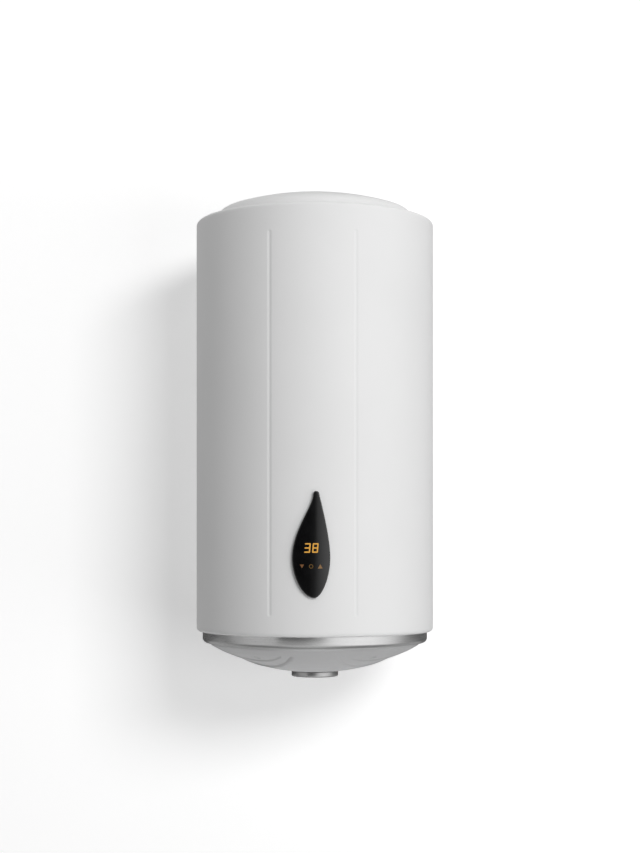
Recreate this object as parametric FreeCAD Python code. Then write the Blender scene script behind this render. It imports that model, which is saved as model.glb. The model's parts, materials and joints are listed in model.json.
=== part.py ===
import FreeCAD, Part
import math
import os

V = FreeCAD.Vector
UP = V(0, 0, 1)
CENTRE = V(0, 0, 0)

# Wall-hung electric storage water heater. The model is drawn about the tank's
# vertical axis with z = 0 at the jacket's lower rim and the front towards -Y,
# then moved so that the origin is the centre of the wall bolts.

# Clearances
SEAT_GAP = 0.3
RUN_GAP = 0.05
THREAD_GAP = 0.05
CUT_GAP = 1.0

# A level below the whole heater, where upward cuts start
DEEP = -130.0

# How far an edge that is picked out may lie from its level and its direction
NEAR = 0.1
SLANT_ANGLE = 8.0

# Tank
TANK_R = 202.0
TANK_WALL = 2.0
TANK_STRAIGHT = 640.0
HEAD_DEPTH = 62.0
TANK_BASE = 22.0

# Foam between the tank and the outer jacket
FOAM = 23.0

# Outer jacket, with flanges turned in at both rims
JACKET_H = 774.0
JACKET_SHEET = 1.0
TOP_FILLET = 6.0
LOW_FILLET = 8.0
TOP_FLANGE = 41.0
LOW_FLANGE = 33.0
SEAM_WIDTH = 14.0
SEAM_SHEET = 0.8
SEAM_END = 12.0

# Pressed grooves down the front of the jacket, turned a little to the left as the panel is
GROOVE_ANGLE = 20.1
GROOVE_TURN = -1.0
GROOVE_DEPTH = 0.8
GROOVE_WIDTH = 9.0
GROOVE_LOW = 36.0
GROOVE_HIGH = 727.0

# Top cap
CAP_OVERLAP = 6.0
CAP_RISE = 52.5
CAP_KNUCKLE = 26.0
CAP_WALL = 2.0
CAP_RIM = 6.0
CAP_SKIRT = 9.0

# Trim ring under the jacket
RING_INSET = 11.5
RING_DROP = 14.0
RING_KNEE = 2.5
RING_KNEE_DROP = 18.3
RING_LIP = 10.5
RING_LIP_DROP = 21.0
RING_WALL = 1.5

# Bottom cover
COVER_REVEAL = 2.5
COVER_WALL = 2.5
COVER_RIM_DROP = 23.5
COVER_EDGE = 10.0
COVER_MID_R = 113.0
COVER_MID_DROP = 62.3
COVER_FLAT_MARGIN = 0.5
COVER_FLAT_DROP = 75.5

# Stepped scallops pressed up into the cover, mirrored left and right
SCALLOP_STEP = 3.0
SCALLOP_FADE = 2.0
WIDE_SCALLOP_R = 321.0
WIDE_SCALLOP_X = 360.0
WIDE_SCALLOP_Y = -227.0
NEAR_SCALLOP_R = 168.0
NEAR_SCALLOP_X = 221.0
NEAR_SCALLOP_Y = -215.0

# Level place at the back of the cover, where pipes and cable come out
LEDGE_DROP = 58.0
LEDGE_HALF_WIDTH = 84.0
LEDGE_FRONT = 62.0
LEDGE_CORNER = 14.0

# Cover screws
SCREW_INSET = 41.9
SCREW_FRONT_ANGLE = -48.0
SCREW_REAR_ANGLE = 45.0
SCREW_SEAT_DROP = 38.0
SCREW_HEAD_R = 5.5
SCREW_HEAD = 3.0
SCREW_HEAD_EDGE = 1.0
SCREW_R = 2.0
SCREW_LENGTH = 18.0
SCREW_WELL_R = 7.0
POST_R = 6.0

# Base pan that closes the foam
PAN_WALL = 2.0
PAN_HOLE_MARGIN = 7.0
PAN_LIP = 8.0

# Thermostat knob and spindle
KNOB_R = 44.5
KNOB_H = 9.7
KNOB_WALL = 1.8
KNOB_GAP = 0.8
KNOB_EDGE = 2.5
KNOB_HUB_R = 9.0
KNOB_RIBS = 6
SPINDLE_R = 3.0
SPINDLE_FLAT = 1.8
SPINDLE_GRIP = 14.0

# Flange at the bottom of the tank
FLANGE_R = 75.0
FLANGE_BORE_R = 52.0
FLANGE_FACE = 14.0
GASKET_SHEET = 3.0
GASKET_LIP = 6.0
GASKET_CLEAR = 1.5
PLATE = 5.0
STUD_COUNT = 6
STUD_INSET = 10.5
STUD_R = 4.0
STUD_TAIL = 3.5
NUT_FLATS = 13.0
NUT_H = 6.5

# Heating element, two hairpins side by side
ELEMENT_R = 4.25
ELEMENT_HALF_PITCH = 16.0
ELEMENT_Y = 22.0
ELEMENT_H = 300.0
ELEMENT_PIN_R = 2.0
ELEMENT_PIN = 14.0

# Anode
ANODE_R = 11.0
ANODE_H = 310.0
ANODE_STUD_R = 4.0

# Sensor sleeve and thermostat
SLEEVE_R = 7.0
SLEEVE_WALL = 1.0
SLEEVE_H = 260.0
STEM_GAP = 1.0
STEM_ROOM = 24.0
THERMOSTAT_R = 20.0
THERMOSTAT_H = 26.0
NECK_R = 6.0
NECK_H = 3.0

# Thermal cut-out with its reset button
CUTOUT_X = 36.0
CUTOUT_SIDE = 20.0
CUTOUT_H = 16.0
CUTOUT_EDGE = 1.5
CUTOUT_COLLAR_R = 6.0
CUTOUT_COLLAR = 1.5
BUTTON_R = 3.0
BUTTON_EDGE = 0.75
BUTTON_OUT = 4.0
BUTTON_IN = 8.0
BUTTON_TRAVEL = 1.5

# Earth screw
EARTH_Y = -42.0
EARTH_R = 2.5
EARTH_FLATS = 9.0
EARTH_HEAD = 2.5
EARTH_WASHER_R = 5.0
EARTH_WASHER = 1.0

# Electrical parts under the pan
BOARD_CASE_WIDTH = 96.0
BOARD_CASE_DEPTH = 46.0
BOARD_CASE_H = 24.0
BOARD_CASE_INSET = 54.5
BOARD_CASE_EDGE = 3.0
TERMINAL_WIDTH = 24.0
TERMINAL_LENGTH = 58.0
TERMINAL_H = 18.0
TERMINAL_INSET = 76.5
TERMINAL_Y = 36.0
TERMINAL_POLES = 4
TERMINAL_HOLE_R = 3.0
TERMINAL_GROOVE = 1.5

# Water pipes
PIPE_R = 10.65
PIPE_THREAD_R = 10.48
PIPE_THREAD = 18.0
PIPE_BORE_R = 7.75
PIPE_X = 50.0
PIPE_Y = 90.0
PIPE_END_DROP = 82.0
PIPE_INSIDE = 34.0
COLLAR_R = 15.0
COLLAR_H = 5.0
DIP_TUBE_R = 7.5
DIP_TUBE_WALL = 1.2
DIP_TUBE_GAP_TO_TOP = 14.0
DIFFUSER_R = 17.0
DIFFUSER_H = 22.0
DIFFUSER_ROOF = 4.0
DIFFUSER_PORTS = 4

# Cable gland
GLAND_Y = 112.0
GLAND_BORE_R = 4.5
GLAND_BODY_R = 8.0
GLAND_FLATS = 22.0
GLAND_HEX_H = 5.0
GLAND_NOSE_R = 9.0
GLAND_NOSE_H = 8.0
GLAND_NOSE_EDGE = 2.25
GLAND_INSIDE = 12.0
GLAND_NUT_H = 4.0

# Control panel, a teardrop on the front of the jacket
PANEL_PROUD = 7.5
PANEL_SKIN = 2.8
PANEL_EDGE = 2.2
PANEL_RIM = 2.4
PANEL_TIP_X = 2.4
PANEL_TIP_Z = 254.8
PANEL_TIP_R = 5.2
PANEL_TIP_LEAN = 14.0
PANEL_LEFT = 40.5
PANEL_RIGHT = 27.4
PANEL_BELLY_Z = 141.5
PANEL_FOOT_X = -1.1
PANEL_FOOT_Z = 70.4
PANEL_LEFT_NECK = 21.5
PANEL_LEFT_SHOULDER = 48.0
PANEL_RIGHT_NECK = 30.0
PANEL_RIGHT_SHOULDER = 33.0
PANEL_HIP = 34.0
GASKET_STRIP = 1.0
FRAME_FLANGE = 2.0
TRAY_X = -6.6
TRAY_Z = 151.0
TRAY_WIDTH = 45.0
TRAY_HEIGHT = 74.0
TRAY_DEPTH = 15.0
TRAY_WALL = 1.5
TRAY_CORNER = 5.0
BOARD_SHEET = 1.6
BOARD_LIFT = 5.0
BOARD_FOOT_R = 2.5
DIGITS_X = -6.0
DIGITS_Z = 159.2
DIGITS_WIDTH = 30.0
DIGITS_HEIGHT = 22.0
TOUCH_Z = 127.0
TOUCH_X = -6.6
TOUCH_PITCH = 16.2
TOUCH_R = 4.0
PANEL_SCREW_R = 1.8
PANEL_SCREW_HEAD_R = 3.4
PANEL_SCREW_HEAD = 1.2
PANEL_SCREW_LENGTH = 9.0
PANEL_SCREW_RISE = 52.0
UPPER_SCREW_X = -3.6
LOWER_SCREW_X = -5.6
RIBBON_WIDTH = 12.0
RIBBON_SHEET = 1.2

# Wall brackets
WALL_GAP = 15.0
STRAP = 3.0
STRAP_H = 38.0
STRAP_LENGTH = 360.0
STRAP_LIP = 8.0
STRAP_END_R = 9.0
LEG_X = 98.0
LEG_H = 30.0
BOLT_SPACING_X = 320.0
BOLT_SPACING_Z = 480.0
LOW_BRACKET_Z = 150.0
SLOT_R = 6.0
SLOT_LENGTH = 26.0

# Sizes and places worked out from those above
JACKET_R = TANK_R + FOAM
TOP_FLANGE_R = JACKET_R - TOP_FLANGE
LOW_FLANGE_R = JACKET_R - LOW_FLANGE
GROOVE_R = (GROOVE_WIDTH ** 2 / 4 + GROOVE_DEPTH ** 2) / (2 * GROOVE_DEPTH)
CAP_R = TOP_FLANGE_R + CAP_OVERLAP
RING_R = JACKET_R - RING_INSET
RING_LIP_R = RING_R - RING_LIP
COVER_R = RING_LIP_R - COVER_REVEAL
COVER_FLAT_R = KNOB_R + COVER_FLAT_MARGIN
SCREW_CIRCLE_R = COVER_R - SCREW_INSET
PAN_RIM_R = JACKET_R - LOW_FILLET
PAN_IN_R = FLANGE_R + PAN_HOLE_MARGIN
STUD_CIRCLE_R = FLANGE_R - STUD_INSET
GASKET_R = STUD_CIRCLE_R - STUD_R - GASKET_CLEAR
GASKET_BORE_R = FLANGE_BORE_R - GASKET_LIP
ANODE_X = ANODE_R + CUT_GAP - GASKET_BORE_R
STEM_R = SLEEVE_R - SLEEVE_WALL - STEM_GAP
STEM_H = SLEEVE_H - SLEEVE_WALL - STEM_ROOM
BOARD_CASE_Y = BOARD_CASE_INSET - COVER_R
TERMINAL_X = TERMINAL_INSET - COVER_R
WALL_Y = JACKET_R + WALL_GAP
PLATE_TOP = FLANGE_FACE - GASKET_SHEET
PLATE_LOW = PLATE_TOP - PLATE
TANK_LOW_KNUCKLE = TANK_BASE + HEAD_DEPTH
TANK_TOP_KNUCKLE = TANK_LOW_KNUCKLE + TANK_STRAIGHT
KNOB_TOP = -COVER_FLAT_DROP - KNOB_GAP
KNOB_LOW = KNOB_TOP - KNOB_H
THERMOSTAT_LOW = PLATE_LOW - THERMOSTAT_H
PAN_LOW = JACKET_SHEET
PAN_TOP = PAN_LOW + PAN_WALL
TRAY_NEAR = JACKET_R - TRAY_DEPTH
LENS_FACE = JACKET_R + PANEL_PROUD
ORIGIN = V(0, WALL_Y, LOW_BRACKET_Z + BOLT_SPACING_Z / 2)


def rod(radius, low, high, x=0.0, y=0.0):
    """A vertical cylinder between two heights."""
    return Part.makeCylinder(radius, high - low, V(x, y, low), UP)


def tube(outer, inner, low, high, x=0.0, y=0.0):
    """A vertical pipe between two heights."""
    return rod(outer, low, high, x, y).cut(rod(inner, low - CUT_GAP, high + CUT_GAP, x, y))


def block(size, middle):
    """A box about its middle point."""
    return Part.makeBox(size.x, size.y, size.z, middle - size * 0.5)


def hexagon(flats, low, high, x=0.0, y=0.0):
    """A vertical hexagon bar, given across its flats."""
    reach = flats / math.sqrt(3)
    corners = [V(x + reach * math.cos(math.radians(60 * i)),
                 y + reach * math.sin(math.radians(60 * i)), low) for i in range(7)]
    return Part.Face(Part.makePolygon(corners)).extrude(V(0, 0, high - low))


def line(r1, z1, r2, z2):
    return Part.LineSegment(V(r1, 0, z1), V(r2, 0, z2)).toShape()


def arc(r1, z1, r2, z2, r3, z3):
    return Part.Arc(V(r1, 0, z1), V(r2, 0, z2), V(r3, 0, z3)).toShape()


def turned(edges):
    """A full turn of a closed profile about the tank's axis."""
    return Part.Face(Part.Wire(edges)).revolve(CENTRE, UP, 360)


def turned_lines(points):
    """A full turn of a straight-sided profile, given as radius and height pairs."""
    closed = points + points[:1]
    return turned([line(*a, *b) for a, b in zip(closed, closed[1:])])


def fuse(solids):
    """One solid from several that meet."""
    joined = solids[0].multiFuse(solids[1:]) if len(solids) > 1 else solids[0]
    return joined.removeSplitter()


def mirrored(solid):
    return solid.mirror(CENTRE, V(1, 0, 0))


def polar(radius, angle):
    """The plan position at a radius, with the angle from +X."""
    return radius * math.cos(math.radians(angle)), radius * math.sin(math.radians(angle))


def edges_at(solid, height):
    """The edges whose middle lies at a height."""
    return [e for e in solid.Edges if abs(e.CenterOfMass.z - height) < NEAR]


def edges_along(solid, direction):
    """The edges that run along a direction."""
    least = math.cos(math.radians(SLANT_ANGLE))
    return [e for e in solid.Edges if abs(e.tangentAt(e.FirstParameter).dot(direction)) > least]


def rounded_can(radius, low, high, low_fillet, top_fillet):
    """A closed cylinder with its two rims rounded."""
    can = rod(radius, low, high)
    can = can.makeFillet(low_fillet, edges_at(can, low))
    return can.makeFillet(top_fillet, edges_at(can, high))


def capsule(radius, x, y, low, high):
    """A vertical bar with round ends."""
    ends = [Part.makeSphere(radius, V(x, y, z)) for z in (low + radius, high - radius)]
    return fuse([rod(radius, low + radius, high - radius, x, y)] + ends)


def groove_bars(grow):
    """The bars that press the two grooves, or with a growth the backs of the grooves."""
    away = JACKET_R + GROOVE_R - GROOVE_DEPTH
    reach = GROOVE_R + grow - GROOVE_WIDTH / 2
    bars = []
    for side in (-1, 1):
        x, y = polar(away, GROOVE_TURN + side * GROOVE_ANGLE - 90)
        bars.append(capsule(GROOVE_R + grow, x, y, GROOVE_LOW - reach, GROOVE_HIGH + reach))
    return bars


def bowl(radius, depth, rim_z, wall_top):
    """A bowl with an elliptical bottom below its rim and a straight wall above it."""
    edge = Part.Ellipse(CENTRE, radius, depth)
    edge.transform(FreeCAD.Placement(CENTRE, FreeCAD.Rotation(V(1, 0, 0), 90)).toMatrix())
    edge.translate(V(0, 0, rim_z))
    edges = [edge.toShape(1.5 * math.pi, 2 * math.pi), line(radius, wall_top, 0, wall_top),
             line(0, wall_top, 0, rim_z - depth)]
    if wall_top > rim_z:
        edges.insert(1, line(radius, rim_z, radius, wall_top))
    return turned(edges)


def tank_form(inset):
    """The tank's outer form, or with an inset its inner one: a can with elliptical heads."""
    middle = (TANK_LOW_KNUCKLE + TANK_TOP_KNUCKLE) / 2
    lower = bowl(TANK_R - inset, HEAD_DEPTH - inset, TANK_LOW_KNUCKLE, middle)
    return fuse([lower, lower.mirror(V(0, 0, middle), UP)])


def tray_bar(width, height, near, far):
    """A round-cornered bar along Y behind the panel, between two distances from the axis."""
    bar = block(V(width, far - near, height), V(TRAY_X, -(near + far) / 2, TRAY_Z))
    return bar.makeFillet(TRAY_CORNER, edges_along(bar, V(0, 1, 0)))


def leg_boxes(grow):
    """The bracket legs from the tank to the wall strap, or with a growth their slots."""
    size = V(STRAP + 2 * grow, WALL_Y - STRAP, LEG_H + 2 * grow)
    heights = (LOW_BRACKET_Z, LOW_BRACKET_Z + BOLT_SPACING_Z)
    return [block(size, V(side * LEG_X, size.y / 2, z)) for z in heights for side in (-1, 1)]


def outer_jacket():
    """The sheet steel jacket, with its grooves, its openings and the lapped seam at its back."""
    outside = rounded_can(JACKET_R, 0, JACKET_H, LOW_FILLET, TOP_FILLET)
    inside = jacket_inside()
    jacket = outside.cut(inside)
    jacket = jacket.cut(rod(TOP_FLANGE_R, JACKET_H - 2 * JACKET_SHEET, JACKET_H + CUT_GAP))
    jacket = jacket.cut(rod(LOW_FLANGE_R, -CUT_GAP, 2 * JACKET_SHEET))
    window = tray_bar(TRAY_WIDTH + 2 * CUT_GAP, TRAY_HEIGHT + 2 * CUT_GAP, TANK_R, LENS_FACE)
    jacket = jacket.cut(Part.makeCompound(groove_bars(0) + [window]))
    jacket = jacket.cut(Part.makeCompound(leg_boxes(CUT_GAP)))
    jacket = jacket.cut(Part.makeCompound([screw_bar(PANEL_SCREW_R, side) for side in (-1, 1)]))
    seam = tube(JACKET_R + SEAM_SHEET, JACKET_R, SEAM_END, JACKET_H - SEAM_END)
    half = block(V(SEAM_WIDTH, 2 * JACKET_R, JACKET_H), V(0, JACKET_R, JACKET_H / 2))
    return fuse([jacket, seam.common(half)])


def jacket_inside():
    """The space inside the jacket's sheet, with the backs of the grooves left out."""
    inside = rounded_can(JACKET_R - JACKET_SHEET, JACKET_SHEET, JACKET_H - JACKET_SHEET,
                         LOW_FILLET - JACKET_SHEET, TOP_FILLET - JACKET_SHEET)
    return inside.cut(Part.makeCompound(groove_bars(JACKET_SHEET)))


def cap_curve(inset, low):
    """The cap's dome as two arcs that meet smoothly, from a height above its foot to its middle."""
    middle = CAP_R - CAP_KNUCKLE
    bend_r = CAP_KNUCKLE - inset
    crown_r = (middle ** 2 + CAP_RISE ** 2 - CAP_KNUCKLE ** 2) / (2 * (CAP_RISE - CAP_KNUCKLE))
    drop = crown_r - CAP_RISE
    dome_r = crown_r - inset
    meet = math.atan2(drop, middle)
    foot = math.asin(low / bend_r)
    knuckle = [(middle + bend_r * math.cos(t), JACKET_H + bend_r * math.sin(t))
               for t in (foot, (foot + meet) / 2, meet)]
    crown = [(dome_r * math.cos(t), JACKET_H - drop + dome_r * math.sin(t))
             for t in (meet, (meet + math.pi / 2) / 2)]
    crown.append((0, JACKET_H + CAP_RISE - inset))
    return knuckle, crown


def top_cap():
    """One moulding: a dome, a rim on the jacket's flange and a skirt inside the flange."""
    rim_top = JACKET_H + CAP_WALL
    outer_knuckle, outer_crown = cap_curve(0, CAP_WALL)
    inner_knuckle, inner_crown = cap_curve(CAP_WALL, CAP_WALL)
    skirt_r = TOP_FLANGE_R - SEAT_GAP
    skirt_in_r = skirt_r - CAP_WALL
    skirt_low = JACKET_H - CAP_SKIRT
    return turned([line(skirt_r, JACKET_H, CAP_R + CAP_RIM, JACKET_H),
                   line(CAP_R + CAP_RIM, JACKET_H, CAP_R + CAP_RIM, rim_top),
                   line(CAP_R + CAP_RIM, rim_top, *outer_knuckle[0]),
                   arc(*outer_knuckle[0], *outer_knuckle[1], *outer_knuckle[2]),
                   arc(*outer_crown[0], *outer_crown[1], *outer_crown[2]),
                   line(*outer_crown[2], *inner_crown[2]),
                   arc(*inner_crown[2], *inner_crown[1], *inner_crown[0]),
                   arc(*inner_knuckle[2], *inner_knuckle[1], *inner_knuckle[0]),
                   line(*inner_knuckle[0], skirt_in_r, rim_top),
                   line(skirt_in_r, rim_top, skirt_in_r, skirt_low),
                   line(skirt_in_r, skirt_low, skirt_r, skirt_low),
                   line(skirt_r, skirt_low, skirt_r, JACKET_H)])


def trim_ring():
    """A band under the jacket that curls in to a lip round the bottom cover."""
    knee = RING_R - RING_KNEE
    lip_top = RING_WALL - RING_LIP_DROP
    inner = RING_R - RING_WALL
    return turned([line(LOW_FLANGE_R, 0, RING_R, 0), line(RING_R, 0, RING_R, -RING_DROP),
                   arc(RING_R, -RING_DROP, knee, -RING_KNEE_DROP, RING_LIP_R, -RING_LIP_DROP),
                   line(RING_LIP_R, -RING_LIP_DROP, RING_LIP_R, lip_top),
                   arc(RING_LIP_R, lip_top, knee - RING_WALL, RING_WALL / 2 - RING_KNEE_DROP,
                       inner, -RING_DROP),
                   line(inner, -RING_DROP, inner, -RING_WALL),
                   line(inner, -RING_WALL, LOW_FLANGE_R, -RING_WALL),
                   line(LOW_FLANGE_R, -RING_WALL, LOW_FLANGE_R, 0)])


def below_dome(rim_lift, lift):
    """All the room below the cover's dome, with the dome lifted at its rim and within it."""
    rim_z = rim_lift - COVER_RIM_DROP
    flat_z = lift - COVER_FLAT_DROP
    dome = arc(COVER_R, rim_z, COVER_MID_R, lift - COVER_MID_DROP, COVER_FLAT_R, flat_z)
    return turned([line(0, DEEP, COVER_R, DEEP), line(COVER_R, DEEP, COVER_R, rim_z), dome,
                   line(COVER_FLAT_R, flat_z, 0, flat_z), line(0, flat_z, 0, DEEP)])


def rounded_rim(solid, radius):
    """A piece of the cover's form with the wide rim of its dome rounded."""
    circles = [e for e in solid.Edges if e.BoundBox.XLength > COVER_R]
    return solid.makeFillet(radius, [min(circles, key=lambda e: e.CenterOfMass.z)])


def ledge_form(grow):
    """The room under the level ledge at the back of the cover."""
    width = 2 * (LEDGE_HALF_WIDTH + grow)
    top = grow - LEDGE_DROP
    size = V(width, JACKET_R, top - DEEP)
    form = block(size, V(0, LEDGE_FRONT - grow + size.y / 2, (top + DEEP) / 2))
    front = [e for e in edges_along(form, UP) if e.CenterOfMass.y < JACKET_R / 2]
    return form.makeFillet(LEDGE_CORNER, front)


def scallop_forms(grow):
    """The room under the two steps of both scallops."""
    wide = rod(WIDE_SCALLOP_R + grow, DEEP, 0, -WIDE_SCALLOP_X, WIDE_SCALLOP_Y)
    near = rod(NEAR_SCALLOP_R + grow, DEEP, 0, -NEAR_SCALLOP_X, NEAR_SCALLOP_Y)
    first = wide.common(below_dome(grow - SCALLOP_FADE, SCALLOP_STEP + grow))
    second = near.common(below_dome(grow - 2 * SCALLOP_FADE, 2 * SCALLOP_STEP + grow))
    return [first, second, mirrored(first), mirrored(second)]


def screw_places():
    """The four cover screws, in pairs that mirror each other left and right."""
    angles = [SCREW_FRONT_ANGLE, -180 - SCREW_FRONT_ANGLE, SCREW_REAR_ANGLE, 180 - SCREW_REAR_ANGLE]
    return [polar(SCREW_CIRCLE_R, angle) for angle in angles]


def bottom_cover():
    """A moulding of even wall: the dome, with every recess below backed by its own raised form."""
    top = -RING_WALL
    shell = rounded_rim(rod(COVER_R, DEEP, top).cut(below_dome(0, 0)), COVER_EDGE)
    recesses = scallop_forms(0) + [ledge_form(0)]
    recesses += [rod(SCREW_WELL_R, DEEP, -SCREW_SEAT_DROP, *p) for p in screw_places()]
    for recess in recesses:
        shell = shell.cut(recess)
    room = rod(COVER_R - COVER_WALL, DEEP, 0).cut(below_dome(COVER_WALL, COVER_WALL))
    room = rounded_rim(room, COVER_EDGE - COVER_WALL)
    backs = scallop_forms(COVER_WALL) + [ledge_form(COVER_WALL)]
    backs += [rod(SCREW_WELL_R + COVER_WALL, DEEP, COVER_WALL - SCREW_SEAT_DROP, *p)
              for p in screw_places()]
    for back in backs:
        room = room.cut(back)
    shell = shell.cut(room)
    holes = [rod(KNOB_HUB_R + CUT_GAP, DEEP, 0)]
    holes += [rod(SCREW_R + SEAT_GAP, DEEP, 0, *p) for p in screw_places()]
    holes += [rod(PIPE_R + CUT_GAP, DEEP, 0, side * PIPE_X, PIPE_Y) for side in (-1, 1)]
    holes += [rod(GLAND_BODY_R + SEAT_GAP, DEEP, 0, 0, GLAND_Y)]
    return shell.cut(Part.makeCompound(holes))


def cover_screws():
    """Four round-headed screws, from the cover's wells up into the pan's posts."""
    screws = []
    head_low = -SCREW_SEAT_DROP - SCREW_HEAD
    for x, y in screw_places():
        head = rod(SCREW_HEAD_R, head_low, -SCREW_SEAT_DROP, x, y)
        head = head.makeFillet(SCREW_HEAD_EDGE, edges_at(head, head_low))
        shank = rod(SCREW_R, -SCREW_SEAT_DROP, SCREW_LENGTH - SCREW_SEAT_DROP, x, y)
        screws.append(fuse([head, shank]))
    return Part.makeCompound(screws)


def base_pan():
    """The floor under the foam, with a rim, a collar round the flange and the screw posts."""
    floor = tube(PAN_RIM_R, PAN_IN_R, PAN_LOW, PAN_TOP)
    lip = tube(PAN_RIM_R, PAN_RIM_R - PAN_WALL, PAN_TOP, PAN_TOP + PAN_LIP)
    collar = tube(PAN_IN_R + PAN_WALL, PAN_IN_R, PAN_TOP, TANK_LOW_KNUCKLE)
    post_low = COVER_WALL - SCREW_SEAT_DROP
    posts = [rod(POST_R, post_low, PAN_LOW, *p) for p in screw_places()]
    pan = fuse([floor, lip, collar.cut(tank_form(-SEAT_GAP))] + posts)
    screw_top = SCREW_LENGTH - SCREW_SEAT_DROP
    holes = [rod(SCREW_R, post_low - CUT_GAP, screw_top, *p) for p in screw_places()]
    holes += [rod(PIPE_R + SEAT_GAP, 0, TANK_LOW_KNUCKLE, side * PIPE_X, PIPE_Y) for side in (-1, 1)]
    slot = V(RIBBON_WIDTH + 2 * SEAT_GAP, RIBBON_SHEET + 2 * SEAT_GAP, 2 * PAN_TOP + CUT_GAP)
    holes.append(block(slot, V(TRAY_X, -ribbon_away(), 0)))
    return pan.cut(Part.makeCompound(holes))


def ribbon_away():
    """The display cable's distance in front of the tank's axis."""
    return TANK_R + SEAT_GAP + RIBBON_SHEET / 2


def foam_head():
    """The foam under the cap: a drum inside the skirt, bevelled at the knuckle, with a crown."""
    drum_r = TOP_FLANGE_R - 2 * SEAT_GAP - CAP_WALL
    inset = CAP_WALL + SEAT_GAP
    crown = cap_curve(inset, 0)[1]
    low = JACKET_H - CAP_SKIRT
    shoulder = JACKET_H + (CAP_KNUCKLE - inset) / 2
    return turned([line(0, low, drum_r, low), line(drum_r, low, drum_r, shoulder),
                   line(drum_r, shoulder, *crown[0]), arc(*crown[0], *crown[1], *crown[2]),
                   line(*crown[2], 0, low)])


def foam_insulation():
    """All the room between the tank, the jacket, the cap and the pan."""
    skirt_in_r = TOP_FLANGE_R - 2 * SEAT_GAP - CAP_WALL
    body = jacket_inside().cut(tube(JACKET_R, skirt_in_r, JACKET_H - CAP_SKIRT - SEAT_GAP, JACKET_H))
    body = fuse([body, foam_head()])
    under = fuse([rod(JACKET_R, -CUT_GAP, PAN_TOP),
                  tube(JACKET_R, PAN_RIM_R - PAN_WALL, 0, PAN_TOP + PAN_LIP),
                  rod(PAN_IN_R + PAN_WALL, -CUT_GAP, TANK_LOW_KNUCKLE)])
    body = body.cut(under).cut(tank_form(0))
    pocket = tray_bar(TRAY_WIDTH + 2 * SEAT_GAP, TRAY_HEIGHT + 2 * SEAT_GAP, TANK_R - TRAY_DEPTH, LENS_FACE)
    ribbon = block(V(RIBBON_WIDTH, RIBBON_SHEET, TRAY_Z), V(TRAY_X, -ribbon_away(), TRAY_Z / 2))
    pipes = [rod(PIPE_R, 0, TANK_LOW_KNUCKLE, side * PIPE_X, PIPE_Y) for side in (-1, 1)]
    screws = [screw_bar(PANEL_SCREW_R, side) for side in (-1, 1)]
    for hole in [pocket, ribbon] + pipes + leg_boxes(0) + screws:
        body = body.cut(hole)
    return body


def tank_shell():
    """The pressure tank, open below at the flange and at the two pipes."""
    shell = tank_form(0).cut(tank_form(TANK_WALL))
    openings = [rod(FLANGE_BORE_R, 0, TANK_LOW_KNUCKLE)]
    openings += [rod(PIPE_R, 0, TANK_LOW_KNUCKLE, side * PIPE_X, PIPE_Y) for side in (-1, 1)]
    return shell.cut(Part.makeCompound(openings))


def stud_places():
    return [polar(STUD_CIRCLE_R, 360 * (i + 0.5) / STUD_COUNT) for i in range(STUD_COUNT)]


def tank_flange():
    """A thick ring, welded under the tank's lower head."""
    ring = tube(FLANGE_R, FLANGE_BORE_R, FLANGE_FACE, TANK_LOW_KNUCKLE).cut(tank_form(0))
    holes = [rod(STUD_R, 0, stud_top(), *p) for p in stud_places()]
    return ring.cut(Part.makeCompound(holes))


def stud_top():
    """The studs end a little inside the ring, short of the tank's head."""
    head = math.sqrt(1 - (FLANGE_R / TANK_R) ** 2) * HEAD_DEPTH
    return TANK_LOW_KNUCKLE - head - TANK_WALL


def flange_studs():
    low = PLATE_LOW - NUT_H - STUD_TAIL
    return Part.makeCompound([rod(STUD_R, low, stud_top(), *p) for p in stud_places()])


def flange_nuts():
    nuts = []
    for place in stud_places():
        nut = hexagon(NUT_FLATS, PLATE_LOW - NUT_H, PLATE_LOW, *place)
        nuts.append(nut.cut(rod(STUD_R + THREAD_GAP, -NUT_H, PLATE_TOP, *place)))
    return Part.makeCompound(nuts)


def flange_gasket():
    return tube(GASKET_R, GASKET_BORE_R, PLATE_TOP, FLANGE_FACE)


def hairpin_legs(radius, low, high):
    return [rod(radius, low, high, x, y) for x in (-ELEMENT_HALF_PITCH, ELEMENT_HALF_PITCH)
            for y in (-ELEMENT_Y, ELEMENT_Y)]


def flange_plate():
    """The plate that closes the tank and carries the element, anode, sleeve and earth screw."""
    plate = rod(FLANGE_R, PLATE_LOW, PLATE_TOP)
    holes = [rod(STUD_R + SEAT_GAP, 0, FLANGE_FACE, *p) for p in stud_places()]
    holes += hairpin_legs(ELEMENT_R, 0, FLANGE_FACE)
    holes += [rod(ANODE_STUD_R, 0, FLANGE_FACE, ANODE_X, 0), rod(SLEEVE_R, 0, FLANGE_FACE),
              rod(EARTH_R, 0, FLANGE_FACE, 0, EARTH_Y)]
    return plate.cut(Part.makeCompound(holes))


def heating_element():
    """Two bent tubes, each two legs and a half ring, with connecting pins below the plate."""
    pins = []
    bend_z = PLATE_TOP + ELEMENT_H - ELEMENT_HALF_PITCH - ELEMENT_R
    room = 4 * (ELEMENT_HALF_PITCH + ELEMENT_Y)
    upper = block(V(room, room, room), V(0, 0, bend_z + room / 2))
    for y in (-ELEMENT_Y, ELEMENT_Y):
        ring = Part.makeTorus(ELEMENT_HALF_PITCH, ELEMENT_R, V(0, y, bend_z), V(0, 1, 0))
        bend = ring.common(upper)
        legs = [rod(ELEMENT_R, PLATE_LOW, bend_z, x, y)
                for x in (-ELEMENT_HALF_PITCH, ELEMENT_HALF_PITCH)]
        tails = [rod(ELEMENT_PIN_R, PLATE_LOW - ELEMENT_PIN, PLATE_LOW, x, y)
                 for x in (-ELEMENT_HALF_PITCH, ELEMENT_HALF_PITCH)]
        pins.append(fuse([bend] + legs + tails))
    return Part.makeCompound(pins)


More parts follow.
